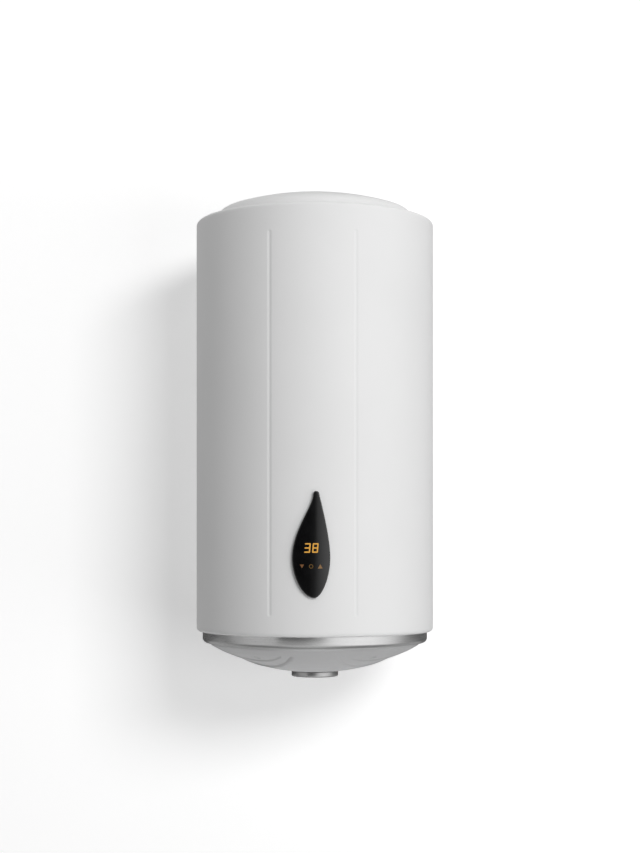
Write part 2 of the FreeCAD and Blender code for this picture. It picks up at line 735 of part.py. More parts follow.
def anode_rod():
    bar = rod(ANODE_R, PLATE_TOP, PLATE_TOP + ANODE_H, ANODE_X, 0)
    stud = rod(ANODE_STUD_R, PLATE_LOW - NUT_H - STUD_TAIL, PLATE_TOP, ANODE_X, 0)
    return fuse([bar, stud])


def anode_nut():
    nut = hexagon(NUT_FLATS, PLATE_LOW - NUT_H, PLATE_LOW, ANODE_X, 0)
    return nut.cut(rod(ANODE_STUD_R + THREAD_GAP, -NUT_H, PLATE_TOP, ANODE_X, 0))


def sensor_sleeve():
    outside = rod(SLEEVE_R, PLATE_LOW, PLATE_LOW + SLEEVE_H)
    return outside.cut(rod(SLEEVE_R - SLEEVE_WALL, 0, PLATE_LOW + SLEEVE_H - SLEEVE_WALL))


def thermostat_body():
    """A round case under the plate, with its stem up in the sleeve and a neck for the spindle."""
    case = rod(THERMOSTAT_R, THERMOSTAT_LOW, PLATE_LOW)
    stem = rod(STEM_R, PLATE_LOW, PLATE_LOW + STEM_H)
    neck = rod(NECK_R, THERMOSTAT_LOW - NECK_H, THERMOSTAT_LOW)
    socket = rod(SPINDLE_R + RUN_GAP, DEEP, THERMOSTAT_LOW + SPINDLE_GRIP + RUN_GAP)
    return fuse([case, stem, neck]).cut(socket)


def knob_spindle():
    """The thermostat's shaft, with a flat where the knob's hub drives it."""
    shaft = rod(SPINDLE_R, KNOB_LOW + KNOB_WALL, THERMOSTAT_LOW + SPINDLE_GRIP)
    return shaft.cut(beside_flat())


def beside_flat():
    """What the flat takes from the spindle, and what fills the knob's bore there."""
    size = V(2 * SPINDLE_R, SPINDLE_R, KNOB_H)
    return block(size, V(0, SPINDLE_FLAT + size.y / 2, KNOB_LOW + size.z / 2))


def thermostat_knob():
    """A pressed dish with a rounded rim, a hub with a flat in its bore and ribs between them."""
    disc = rod(KNOB_R, KNOB_LOW, KNOB_TOP)
    disc = disc.makeFillet(KNOB_EDGE, edges_at(disc, KNOB_LOW))
    floor = KNOB_LOW + KNOB_WALL
    hollow = rod(KNOB_R - KNOB_WALL, floor, KNOB_TOP + CUT_GAP)
    dish = disc.cut(hollow.makeFillet(KNOB_EDGE - KNOB_WALL / 2, edges_at(hollow, floor)))
    rib_low = KNOB_LOW + KNOB_WALL / 2
    hub = rod(KNOB_HUB_R, rib_low, KNOB_TOP + KNOB_GAP + 2 * COVER_WALL)
    size = V(KNOB_R - KNOB_HUB_R, KNOB_WALL, KNOB_H / 2)
    rib = block(size, V((KNOB_R + KNOB_HUB_R - KNOB_WALL) / 2, 0, rib_low + size.z / 2))
    ribs = [rib.copy().rotate(CENTRE, UP, 360 * i / KNOB_RIBS) for i in range(KNOB_RIBS)]
    knob = fuse([dish, hub] + ribs)
    return knob.cut(rod(SPINDLE_R, floor, 0).cut(beside_flat()))


def thermal_cutout():
    """A square case under the plate, with a collar and a well for its reset button."""
    case = block(V(CUTOUT_SIDE, CUTOUT_SIDE, CUTOUT_H), V(CUTOUT_X, 0, PLATE_LOW - CUTOUT_H / 2))
    case = case.makeFillet(CUTOUT_EDGE, edges_along(case, UP))
    low = PLATE_LOW - CUTOUT_H
    collar = rod(CUTOUT_COLLAR_R, low - CUTOUT_COLLAR, low, CUTOUT_X, 0)
    well_top = low + BUTTON_IN + BUTTON_TRAVEL + RUN_GAP
    return fuse([case, collar]).cut(rod(BUTTON_R + RUN_GAP, DEEP, well_top, CUTOUT_X, 0))


def reset_button():
    low = PLATE_LOW - CUTOUT_H
    pin = rod(BUTTON_R, low - BUTTON_OUT, low + BUTTON_IN, CUTOUT_X, 0)
    return pin.makeFillet(BUTTON_EDGE, edges_at(pin, low - BUTTON_OUT))


def earth_screw():
    washer_low = PLATE_LOW - EARTH_WASHER
    head = hexagon(EARTH_FLATS, washer_low - EARTH_HEAD, washer_low, 0, EARTH_Y)
    washer = rod(EARTH_WASHER_R, washer_low, PLATE_LOW, 0, EARTH_Y)
    shank = rod(EARTH_R, PLATE_LOW, PLATE_TOP, 0, EARTH_Y)
    return fuse([head, washer, shank])


def board_case():
    """The power board's closed case, screwed flat under the pan."""
    size = V(BOARD_CASE_WIDTH, BOARD_CASE_DEPTH, BOARD_CASE_H)
    case = block(size, V(0, BOARD_CASE_Y, PAN_LOW - size.z / 2))
    return case.makeFillet(BOARD_CASE_EDGE, edges_along(case, UP))


def terminal_block():
    """A strip of poles for the incoming wires, parted by grooves, flat under the pan."""
    size = V(TERMINAL_WIDTH, TERMINAL_LENGTH, TERMINAL_H)
    body = block(size, V(TERMINAL_X, TERMINAL_Y, PAN_LOW - size.z / 2))
    pitch = size.y / TERMINAL_POLES
    first = TERMINAL_Y - size.y / 2 + pitch / 2
    holes = [rod(TERMINAL_HOLE_R, DEEP, PAN_LOW - size.z / 2, TERMINAL_X, first + i * pitch)
             for i in range(TERMINAL_POLES)]
    groove = V(2 * size.x, TERMINAL_GROOVE, size.z / 2)
    grooves = [block(groove, V(TERMINAL_X, first + (i + 0.5) * pitch, PAN_LOW - size.z))
               for i in range(TERMINAL_POLES - 1)]
    return body.cut(Part.makeCompound(holes + grooves))


def water_pipe(side):
    """One threaded stub, welded through the tank's lower head."""
    x = side * PIPE_X
    shoulder = PIPE_THREAD - PIPE_END_DROP
    stub = fuse([rod(PIPE_THREAD_R, -PIPE_END_DROP, shoulder, x, PIPE_Y),
                 rod(PIPE_R, shoulder, TANK_BASE + PIPE_INSIDE, x, PIPE_Y)])
    return stub.cut(rod(PIPE_BORE_R, DEEP, TANK_TOP_KNUCKLE, x, PIPE_Y))


def pipe_collar(side):
    """The coloured ring round a stub, under the ledge."""
    low = -LEDGE_DROP - COLLAR_H
    flange = tube(COLLAR_R, PIPE_R + SEAT_GAP, low, -LEDGE_DROP, side * PIPE_X, PIPE_Y)
    nose = tube(PIPE_R + CUT_GAP - RUN_GAP, PIPE_R + SEAT_GAP, -LEDGE_DROP,
                -LEDGE_DROP + 2 * COVER_WALL, side * PIPE_X, PIPE_Y)
    return fuse([flange, nose])


def hot_dip_tube():
    """The tube that draws hot water from the top of the tank."""
    x = PIPE_X
    reach = math.hypot(PIPE_X, PIPE_Y) / TANK_R
    top = TANK_TOP_KNUCKLE + HEAD_DEPTH * math.sqrt(1 - reach ** 2) - DIP_TUBE_GAP_TO_TOP
    return tube(DIP_TUBE_R, DIP_TUBE_R - DIP_TUBE_WALL, TANK_BASE, top, x, PIPE_Y)


def cold_diffuser():
    """The cap on the cold stub that turns the incoming water sideways."""
    seat = TANK_BASE + PIPE_INSIDE
    low = seat - DIFFUSER_H / 2
    top = seat + DIFFUSER_H / 2 + DIFFUSER_ROOF
    x = -PIPE_X
    cap = rod(DIFFUSER_R, low, top, x, PIPE_Y)
    cap = cap.cut(rod(PIPE_R + SEAT_GAP, DEEP, seat, x, PIPE_Y))
    cap = cap.cut(rod(PIPE_BORE_R, DEEP, top - DIFFUSER_ROOF, x, PIPE_Y))
    port_h = DIFFUSER_H / 2 - DIFFUSER_ROOF
    for i in range(DIFFUSER_PORTS):
        port = block(V(2 * DIFFUSER_R, PIPE_BORE_R, port_h), V(DIFFUSER_R, 0, 0))
        port = port.rotate(CENTRE, UP, 360 * (i + 0.5) / DIFFUSER_PORTS)
        port.translate(V(x, PIPE_Y, seat + DIFFUSER_ROOF / 2 + port_h / 2))
        cap = cap.cut(port)
    return cap


def cable_gland():
    """A screwed gland in the ledge: body, hexagon and nose below, and its nut above."""
    ledge = -LEDGE_DROP
    nose_low = ledge - GLAND_HEX_H - GLAND_NOSE_H
    body = rod(GLAND_BODY_R, ledge, ledge + GLAND_INSIDE, 0, GLAND_Y)
    collar = hexagon(GLAND_FLATS, ledge - GLAND_HEX_H, ledge, 0, GLAND_Y)
    nose = rod(GLAND_NOSE_R, nose_low, ledge - GLAND_HEX_H, 0, GLAND_Y)
    nose = nose.makeFillet(GLAND_NOSE_EDGE, edges_at(nose, nose_low))
    nut = hexagon(GLAND_FLATS, ledge + COVER_WALL, ledge + COVER_WALL + GLAND_NUT_H, 0, GLAND_Y)
    gland = fuse([body, collar, nose, nut])
    return gland.cut(rod(GLAND_BORE_R, DEEP, 0, 0, GLAND_Y))


def teardrop(inset):
    """The panel's outline on the front plane: a round tip, two flanks and a round foot."""
    radius = PANEL_TIP_R - inset
    lean = math.radians(PANEL_TIP_LEAN)
    left_tip = V(PANEL_TIP_X - radius, 0, PANEL_TIP_Z)
    right_tip = V(PANEL_TIP_X + radius * math.cos(lean), 0, PANEL_TIP_Z + radius * math.sin(lean))
    tip = Part.Arc(left_tip, V(PANEL_TIP_X, 0, PANEL_TIP_Z + radius), right_tip).toShape()
    left = V(inset - PANEL_LEFT, 0, PANEL_BELLY_Z)
    right = V(PANEL_RIGHT - inset, 0, PANEL_BELLY_Z)
    foot = V(PANEL_FOOT_X, 0, PANEL_FOOT_Z + inset)
    left_neck = left_tip - UP * PANEL_LEFT_NECK
    right_neck = right_tip + V(math.sin(lean), 0, -math.cos(lean)) * PANEL_RIGHT_NECK
    return Part.Face(Part.Wire([
        tip,
        bend(left_tip, left_neck, left + UP * PANEL_LEFT_SHOULDER, left),
        bend(left, left - UP * PANEL_HIP, foot - V(PANEL_LEFT / 2, 0, 0), foot),
        bend(foot, foot + V(PANEL_RIGHT / 2, 0, 0), right - UP * PANEL_HIP, right),
        bend(right, right + UP * PANEL_RIGHT_SHOULDER, right_neck, right_tip)]))


def bend(start, first_pull, second_pull, end):
    """A smooth curve between two points, drawn towards two others."""
    curve = Part.BezierCurve()
    curve.setPoles([start, first_pull, second_pull, end])
    return curve.toShape()


def teardrop_layer(inset, near, far):
    """A slice of the teardrop, bent round the tank's axis between two distances from it."""
    bar = teardrop(inset).extrude(V(0, -far - CUT_GAP, 0))
    return bar.common(tube(far, near, 0, JACKET_H))


def distance_out(edge):
    """The least distance of an edge's ends from the tank's axis."""
    return min(math.hypot(v.Point.x, v.Point.y) for v in edge.Vertexes)


def panel_lens():
    """The dark front of the panel, rounded along its outline and hollow behind."""
    lens = teardrop_layer(0, JACKET_R + SEAT_GAP, LENS_FACE)
    lens = lens.makeFillet(PANEL_EDGE, [e for e in lens.Edges if distance_out(e) > LENS_FACE - NEAR])
    return lens.cut(teardrop_layer(PANEL_RIM, JACKET_R, LENS_FACE - PANEL_SKIN))


def panel_frame():
    """The frame: a flange under the lens and a tray that reaches back through the jacket."""
    low = JACKET_R + GASKET_STRIP
    inset = PANEL_RIM + SEAT_GAP
    flange = teardrop_layer(inset, low, low + FRAME_FLANGE)
    reach = tube(low + FRAME_FLANGE, TRAY_NEAR, 0, JACKET_H)
    tray = tray_bar(TRAY_WIDTH, TRAY_HEIGHT, TANK_R, LENS_FACE).common(reach)
    hollow = tray_bar(TRAY_WIDTH - 2 * TRAY_WALL, TRAY_HEIGHT - 2 * TRAY_WALL, TANK_R, LENS_FACE)
    hollow = hollow.cut(rod(TRAY_NEAR + TRAY_WALL, 0, JACKET_H))
    slot = block(V(RIBBON_WIDTH + 2 * SEAT_GAP, 2 * RIBBON_WIDTH, 4 * TRAY_WALL),
                 V(TRAY_X, -TRAY_NEAR, TRAY_Z - TRAY_HEIGHT / 2))
    holes = [hollow, slot] + [screw_bar(PANEL_SCREW_R + SEAT_GAP, side) for side in (-1, 1)]
    frame = fuse([flange, tray])
    for hole in holes:
        frame = frame.cut(hole)
    return frame


def panel_gasket():
    """The rubber sheet between the frame's flange and the jacket, open at the tray."""
    strip = teardrop_layer(PANEL_RIM + SEAT_GAP + CUT_GAP, JACKET_R, JACKET_R + GASKET_STRIP)
    strip = strip.cut(tray_bar(TRAY_WIDTH + 2 * CUT_GAP, TRAY_HEIGHT + 2 * CUT_GAP, TANK_R, LENS_FACE))
    return strip.cut(Part.makeCompound([screw_bar(PANEL_SCREW_R + SEAT_GAP, side) for side in (-1, 1)]))


def screw_bar(radius, side):
    """A bar along a panel screw, above or below the tray, from the screw's point outwards."""
    point = V(screw_x(side), -screw_seat() + PANEL_SCREW_LENGTH, TRAY_Z + side * PANEL_SCREW_RISE)
    return Part.makeCylinder(radius, 2 * PANEL_SCREW_LENGTH, point, V(0, -1, 0))


def screw_seat():
    """The seat of the panel screws' heads, as a distance from the axis."""
    return JACKET_R + GASKET_STRIP + FRAME_FLANGE + THREAD_GAP


def screw_x(side):
    return UPPER_SCREW_X if side > 0 else LOWER_SCREW_X


def panel_screws():
    seat = screw_seat()
    screws = []
    for side in (-1, 1):
        place = V(screw_x(side), -seat, TRAY_Z + side * PANEL_SCREW_RISE)
        head = Part.makeCylinder(PANEL_SCREW_HEAD_R, PANEL_SCREW_HEAD, place, V(0, -1, 0))
        shank = Part.makeCylinder(PANEL_SCREW_R, PANEL_SCREW_LENGTH, place, V(0, 1, 0))
        screws.append(fuse([head, shank]))
    return Part.makeCompound(screws)


def board_face():
    """The front face of the display board, as a distance from the axis."""
    return TRAY_NEAR + TRAY_WALL + BOARD_LIFT + BOARD_SHEET


def display_board():
    """The board, held off the tray's floor by four feet."""
    width = TRAY_WIDTH - 2 * TRAY_WALL - 2 * SEAT_GAP
    height = TRAY_HEIGHT - 2 * TRAY_WALL - 2 * SEAT_GAP
    back = board_face() - BOARD_SHEET
    board = tray_bar(width, height, back, board_face())
    floor = rod(TRAY_NEAR + TRAY_WALL, 0, JACKET_H)
    feet = []
    for side_x in (-1, 1):
        for side_z in (-1, 1):
            x = TRAY_X + side_x * (width / 2 - TRAY_CORNER)
            z = TRAY_Z + side_z * (height / 2 - TRAY_CORNER)
            bar = Part.makeCylinder(BOARD_FOOT_R, BOARD_LIFT * 2, V(x, -back, z), V(0, 1, 0))
            feet.append(bar.cut(floor))
    return fuse([board] + feet)


def digit_display():
    """The digits' block, from the board out to the back of the lens."""
    far = LENS_FACE - PANEL_SKIN - SEAT_GAP
    near = board_face()
    bar = block(V(DIGITS_WIDTH, far, DIGITS_HEIGHT), V(DIGITS_X, -near - far / 2, DIGITS_Z))
    return bar.common(rod(far, 0, JACKET_H))


def touch_pads():
    """Three posts that carry the touch sensors to the back of the lens."""
    far = LENS_FACE - PANEL_SKIN - SEAT_GAP
    pads = []
    for i in (-1, 0, 1):
        x = TOUCH_X + i * TOUCH_PITCH
        bar = Part.makeCylinder(TOUCH_R, far, V(x, -board_face(), TOUCH_Z), V(0, -1, 0))
        pads.append(bar.common(rod(far, 0, JACKET_H)))
    return Part.makeCompound(pads)


def display_cable():
    """The flat cable from the display board down through the foam to the power board."""
    top = TRAY_Z - TRAY_HEIGHT / 2 + TRAY_WALL * 2
    size = V(RIBBON_WIDTH, RIBBON_SHEET, top - PAN_LOW)
    return block(size, V(TRAY_X, -ribbon_away(), (top + PAN_LOW) / 2))


def bracket_legs():
    """Four upright plates, welded to the tank and to the straps."""
    return Part.makeCompound([leg.cut(tank_form(0)) for leg in leg_boxes(0)])


def wall_strap(z):
    """A channel strap that lies on the wall, with a slot at each end."""
    strap = block(V(STRAP_LENGTH, STRAP, STRAP_H), V(0, WALL_Y - STRAP / 2, z))
    strap = strap.makeFillet(STRAP_END_R, edges_along(strap, V(0, 1, 0)))
    lip = V(BOLT_SPACING_X - 2 * SLOT_LENGTH, STRAP_LIP, STRAP)
    lips = [block(lip, V(0, WALL_Y - lip.y / 2, z + side * (STRAP_H - STRAP) / 2)) for side in (-1, 1)]
    slots = []
    for side in (-1, 1):
        x = side * BOLT_SPACING_X / 2
        reach = SLOT_LENGTH / 2 - SLOT_R
        through = 3 * STRAP
        bars = [block(V(2 * reach, through, 2 * SLOT_R), V(x, WALL_Y - STRAP / 2, z))]
        for end in (-1, 1):
            start = V(x + end * reach, WALL_Y - 2 * STRAP, z)
            bars.append(Part.makeCylinder(SLOT_R, through, start, V(0, 1, 0)))
        slots.append(fuse(bars))
    return fuse([strap] + lips).cut(Part.makeCompound(slots))


def all_pieces():
    return {
        "outer_jacket": outer_jacket(),
        "top_cap": top_cap(),
        "trim_ring": trim_ring(),
        "bottom_cover": bottom_cover(),
        "cover_screws": cover_screws(),
        "base_pan": base_pan(),
        "foam_insulation": foam_insulation(),
        "tank_shell": tank_shell(),
        "tank_flange": tank_flange(),
        "flange_studs": flange_studs(),
        "flange_nuts": flange_nuts(),
        "flange_gasket": flange_gasket(),
        "flange_plate": flange_plate(),
        "heating_element": heating_element(),
        "anode_rod": anode_rod(),
        "anode_nut": anode_nut(),
        "sensor_sleeve": sensor_sleeve(),
        "thermostat_body": thermostat_body(),
        "knob_spindle": knob_spindle(),
        "thermostat_knob": thermostat_knob(),
        "thermal_cutout": thermal_cutout(),
        "reset_button": reset_button(),
        "earth_screw": earth_screw(),
        "board_case": board_case(),
        "terminal_block": terminal_block(),
        "cold_pipe": water_pipe(-1),
        "hot_pipe": water_pipe(1),
        "cold_collar": pipe_collar(-1),
        "hot_collar": pipe_collar(1),
        "hot_dip_tube": hot_dip_tube(),
        "cold_diffuser": cold_diffuser(),
        "cable_gland": cable_gland(),
        "panel_lens": panel_lens(),
        "panel_frame": panel_frame(),
        "panel_gasket": panel_gasket(),
        "panel_screws": panel_screws(),
        "display_board": display_board(),
        "digit_display": digit_display(),
        "touch_pads": touch_pads(),
        "display_cable": display_cable(),
        "bracket_legs": bracket_legs(),
        "lower_strap": wall_strap(LOW_BRACKET_Z),
        "upper_strap": wall_strap(LOW_BRACKET_Z + BOLT_SPACING_Z),
    }


def main():
    os.makedirs("parts", exist_ok=True)
    for name, piece in all_pieces().items():
        piece.translate(-ORIGIN)
        piece.exportStep(f"parts/{name}.step")
        low = piece.BoundBox
        print(name, len(piece.Solids), "solids", "valid" if piece.isValid() else "NOT VALID",
              round(piece.Volume / 1000, 2), "cm3",
              [round(v, 1) for v in (low.XMin, low.XMax, low.YMin, low.YMax, low.ZMin, low.ZMax)])


main()
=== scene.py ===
import json
import math

import bmesh
import bpy
from mathutils import Matrix, Vector


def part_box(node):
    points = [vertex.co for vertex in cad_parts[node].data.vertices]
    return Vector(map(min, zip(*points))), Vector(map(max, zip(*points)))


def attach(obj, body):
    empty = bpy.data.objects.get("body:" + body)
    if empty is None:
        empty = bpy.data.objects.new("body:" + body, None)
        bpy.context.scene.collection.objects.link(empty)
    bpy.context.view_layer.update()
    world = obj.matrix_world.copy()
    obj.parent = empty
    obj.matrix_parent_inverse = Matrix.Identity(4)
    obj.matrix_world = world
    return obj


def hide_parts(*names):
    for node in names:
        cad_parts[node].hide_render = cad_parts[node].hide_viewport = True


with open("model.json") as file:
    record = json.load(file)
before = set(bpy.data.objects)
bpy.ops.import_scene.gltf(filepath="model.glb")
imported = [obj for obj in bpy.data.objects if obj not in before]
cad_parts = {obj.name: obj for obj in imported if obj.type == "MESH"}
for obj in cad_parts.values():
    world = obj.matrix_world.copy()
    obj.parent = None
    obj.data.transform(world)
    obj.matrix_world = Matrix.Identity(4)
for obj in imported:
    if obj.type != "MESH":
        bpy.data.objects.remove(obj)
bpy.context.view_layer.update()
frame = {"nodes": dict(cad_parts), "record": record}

bl_info = {
    "name": "Storage water heater",
    "version": (1, 0, 0),
    "blender": (4, 5, 0),
    "location": "View3D > Sidebar > Heater",
    "description": "Dresses the packed frame of a wall-hung storage water heater",
    "category": "Object",
}

# Metres throughout, +Z up, the wall at y = 0 and the front towards -Y
FRONT = Vector((0, -1, 0))


def round_box(node):
    """Radius, lowest and highest level of a round CAD node, to a tenth of a millimetre."""
    low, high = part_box(node)
    return round((high.x - low.x) / 2, 4), round(low.z, 4), round(high.z, 4)


JACKET_R, JACKET_LOW, JACKET_TOP = round_box("outer_jacket")
AXIS = Vector((0, round(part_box("outer_jacket")[0].y, 4) + JACKET_R, 0))
RING_R, RING_LOW, _ = round_box("trim_ring")
CAP_RIM_R, CAP_SKIRT_LOW, CAP_TOP = round_box("top_cap")
KNOB_R, KNOB_LOW, KNOB_HUB_TOP = round_box("thermostat_knob")

# Points nearer than these are one point, in a turned piece and in the jacket
MERGE = 0.000002
SHEET_MERGE = 0.000005
# Points nearer than this lie on a cutting plane
ON_PLANE = 0.0000001
# Width of the strips that let a flat shape bend round the tank
STRIP = 0.0025
# Metres between the rings of a Wave texture at a scale of one
WAVE_PITCH = 0.314
# The colour of the digits and marks themselves, without their light
UNLIT = (0.02, 0.012, 0.006)
# Stands a flat shape up, so that it faces the front
UPRIGHT = Matrix.Rotation(math.radians(90), 4, "X")


def length(name, description, default):
    """A length in metres that isn't negative."""
    return bpy.props.FloatProperty(name=name, description=description, default=default,
                                   min=0.0, precision=4, unit="LENGTH", subtype="DISTANCE")


def place(name, description, default):
    """A place along an axis, in metres."""
    return bpy.props.FloatProperty(name=name, description=description, default=default,
                                   precision=4, unit="LENGTH", subtype="DISTANCE")


def angle(name, description, degrees):
    """An angle, given in degrees."""
    return bpy.props.FloatProperty(name=name, description=description,
                                   default=math.radians(degrees), subtype="ANGLE")


def colour(name, description, default):
    """A colour in linear red, green and blue."""
    return bpy.props.FloatVectorProperty(name=name, description=description, default=default,
                                         size=3, min=0.0, max=1.0, subtype="COLOR")


class HeaterShell(bpy.types.PropertyGroup):
    """Sizes of the jacket and the cap"""
    sheet: length("Sheet", "Thickness of the jacket's steel", 0.001)
    top_fillet: length("Top fillet", "Radius of the jacket's upper edge", 0.006)
    low_fillet: length("Low fillet", "Radius of the jacket's lower edge", 0.008)
    top_flange_r: length("Top flange", "Radius where the upper flange ends", 0.184)
    low_flange_r: length("Low flange", "Radius where the lower flange ends", 0.192)
    groove_angle: angle("Groove angle", "Half the angle between the grooves", 20.1)
    groove_turn: angle("Groove turn", "Turn of both grooves to the left", 1.0)
    groove_depth: length("Groove depth", "How deep the grooves are pressed", 0.0008)
    groove_half: length("Groove half width", "Half the width of a groove", 0.0050)
    groove_low: length("Groove foot", "Grooves start this far above the jacket's foot", 0.036)
    groove_high: length("Groove head", "Grooves end this far above the jacket's foot", 0.727)
    window_gap: length("Window gap", "Play round the tray in the jacket's window", 0.001)
    window_corner: length("Window corner", "Radius of the window's corners", 0.005)
    tray_wall: length("Tray wall", "Wall of the display's tray round its board", 0.0018)
    leg_sheet: length("Leg sheet", "Thickness of the bracket legs", 0.003)
    seam_half: length("Seam half width", "Half the width of the lapped seam", 0.007)
    seam_step: length("Seam step", "How far the lapped seam stands out", 0.0008)
    seam_end: length("Seam end", "Distance of the seam's ends from the rims", 0.012)
    cap_r: length("Cap radius", "Radius of the cap's dome at its foot", 0.190)
    cap_knuckle: length("Cap knuckle", "Radius of the bend between dome and rim", 0.026)
    cap_wall: length("Cap wall", "Wall of the moulded cap", 0.002)
    cap_gap: length("Cap gap", "Play between the cap's skirt and the flange", 0.0003)


class HeaterBase(bpy.types.PropertyGroup):
    """Sizes of the ring, the knob, the cover screws and the pipe stubs"""
    ring_drop: length("Ring band", "Height of the ring's straight band", 0.014)
    ring_knee: length("Ring knee", "How far in the bend's middle lies", 0.0025)
    ring_knee_drop: length("Ring knee drop", "How far down the bend's middle lies", 0.0183)
    ring_lip: length("Ring lip", "How far the band curls in", 0.0105)
    ring_wall: length("Ring wall", "Thickness of the band", 0.0015)
    knob_drop: length("Knob rim", "Height of the knob's rim", 0.0097)
    knob_wall: length("Knob wall", "Wall of the knob", 0.0018)
    knob_edge: length("Knob edge", "Radius of the knob's lower edge", 0.0025)
    knob_lip: length("Knob lip", "Radius of the rim's upper edge", 0.0004)
    knob_hub_r: length("Knob hub", "Radius of the knob's hub", 0.009)
    knob_ribs: bpy.props.IntProperty(name="Knob ribs", description="Ribs behind the knob", default=6)
    screw_head_r: length("Screw head", "Radius of a cover screw's head", 0.0055)
    screw_head: length("Screw head height", "Height of a cover screw's head", 0.003)
    screw_shank_r: length("Screw shank", "Radius of a cover screw's shank", 0.002)
    cross_half: length("Cross recess", "Half the width of the screw's cross", 0.0027)
    cross_slot: length("Cross slot", "Width of each slot of the cross", 0.0009)
    thread_pitch: length("Thread pitch", "Pitch of the half-inch pipe thread", 0.001814)
    thread_depth: length("Thread depth", "Depth of the half-inch pipe thread", 0.0009)
    thread_relief: length("Thread relief", "How far the thread lies within the pipe's face", 0.00017)
    thread_blunt: length("Blunt crest", "How much each crest is cut off", 0.0001)
    thread_h: length("Thread length", "Length of thread on each stub", 0.018)
    pipe_bore_r: length("Pipe bore", "Radius of each stub's bore", 0.00775)


class HeaterPanel(bpy.types.PropertyGroup):
    """Sizes of the lens, its digits and its touch marks"""
    proud: length("Lens proud", "How far the lens stands off the jacket", 0.0074)
    edge: length("Lens edge", "Radius of the lens's rounded edge", 0.0022)
    seat: length("Lens seat", "Gap between the lens and the jacket", 0.0003)
    tip_x: place("Tip place", "Sideways place of the lens's tip", 0.0024)
    tip_z: place("Tip height", "Height of the tip's middle above the jacket's foot", 0.2548)
    tip_r: length("Tip radius", "Radius of the lens's tip", 0.0052)
    tip_lean: angle("Tip lean", "Lean of the right flank at the tip", 14.0)
    left: length("Left reach", "How far the lens bulges left of the middle", 0.0405)
    right: length("Right reach", "How far the lens bulges right of the middle", 0.0274)
    belly_z: length("Belly height", "Height of the widest place", 0.1415)
    foot_x: place("Foot place", "Sideways place of the lens's lowest point", -0.0011)
    foot_z: length("Foot height", "Height of the lens's lowest point", 0.0704)
    left_neck: length("Left neck", "Pull of the left flank at the tip", 0.0215)
    left_shoulder: length("Left shoulder", "Pull of the left flank at the belly", 0.048)
    right_neck: length("Right neck", "Pull of the right flank at the tip", 0.030)
    right_shoulder: length("Right shoulder", "Pull of the right flank at the belly", 0.033)
    hip: length("Hip", "Pull of both flanks below the belly", 0.034)
    digit_h: length("Digit height", "Height of the lit digits", 0.0170)
    digit_w: length("Digit width", "Width of one digit", 0.0104)
    digit_stroke: length("Digit stroke", "Width of a lit stroke", 0.0023)
    digit_round: length("Digit corner", "Radius of the strokes' outer corners", 0.0014)
    digit_pitch: length("Digit pitch", "Distance between the digits' middles", 0.0139)
    digit_slant: angle("Digit slant", "Lean of the digits", 5.0)
    digits_x: place("Digits place", "Sideways place of the display's middle", -0.0060)
    digits_z: length("Digits height", "Height of the display's middle", 0.1592)
    marks_z: length("Marks height", "Height of the touch marks", 0.1267)
    marks_x: place("Marks place", "Sideways place of the middle touch mark", -0.0066)
    marks_pitch: length("Marks pitch", "Distance between the touch marks", 0.0162)
    down_mark: length("Down mark", "Width of the left mark", 0.0076)
    up_mark: length("Up mark", "Width of the right mark", 0.0088)
    ring_mark: length("Ring mark", "Outer radius of the middle mark", 0.0038)
    ring_stroke: length("Ring stroke", "Stroke of the middle mark", 0.0013)
    lit_rise: length("Lit rise", "How far lit marks lie above the lens", 0.00003)
    lit_sheet: length("Lit sheet", "Thickness of the lit marks", 0.00003)


class HeaterColours(bpy.types.PropertyGroup):
    """Colours of the finishes"""
    enamel: colour("Enamel", "The jacket's white", (0.80, 0.80, 0.80))
    cap: colour("Cap plastic", "The cap's white", (0.80, 0.80, 0.80))
    band: colour("Band", "The brushed ring", (0.62, 0.62, 0.62))
    cover: colour("Cover", "The satin silver cover", (0.61, 0.61, 0.615))
    knob: colour("Knob", "The turned knob", (0.44, 0.44, 0.44))
    lens: colour("Lens", "The panel's black", (0.0032, 0.0032, 0.0035))
    amber: colour("Amber", "The lit digits", (0.74, 0.38, 0.07))
    mark_left: colour("Left mark", "The glow of the left mark", (0.150, 0.070, 0.030))
    mark_middle: colour("Middle mark", "The glow of the middle mark", (0.110, 0.062, 0.018))
    mark_right: colour("Right mark", "The glow of the right mark", (0.220, 0.130, 0.062))
    zinc: colour("Zinc", "Plated steel", (0.55, 0.56, 0.57))
    bracket: colour("Bracket", "Painted brackets", (0.70, 0.70, 0.69))
    red: colour("Red", "The hot collar", (0.55, 0.03, 0.02))
    blue: colour("Blue", "The cold collar", (0.02, 0.09, 0.45))
    dark_plastic: colour("Dark plastic", "Gland and dark mouldings", (0.03, 0.03, 0.032))
    foam: colour("Foam", "Polyurethane foam", (0.74, 0.60, 0.27))
    tank: colour("Tank", "Enamelled steel", (0.05, 0.09, 0.16))
    rubber: colour("Rubber", "Grey gasket", (0.12, 0.12, 0.12))
    copper: colour("Copper", "Element sheath", (0.72, 0.38, 0.22))
    magnesium: colour("Magnesium", "Anode", (0.62, 0.61, 0.59))
    phenolic: colour("Phenolic", "Thermostat case", (0.035, 0.022, 0.018))
    ivory: colour("Ivory", "Terminal strip", (0.74, 0.70, 0.58))
    board: colour("Board", "Circuit board", (0.02, 0.17, 0.06))
    pan: colour("Pan", "Base pan", (0.33, 0.33, 0.33))
    backdrop: colour("Backdrop", "Wall and floor", (0.97, 0.97, 0.97))


def set_sockets(node, values):
    """Sets a node's own sockets by their names, with _ for a blank."""
    for label, value in values.items():
        node.inputs[label.replace("_", " ")].default_value = value


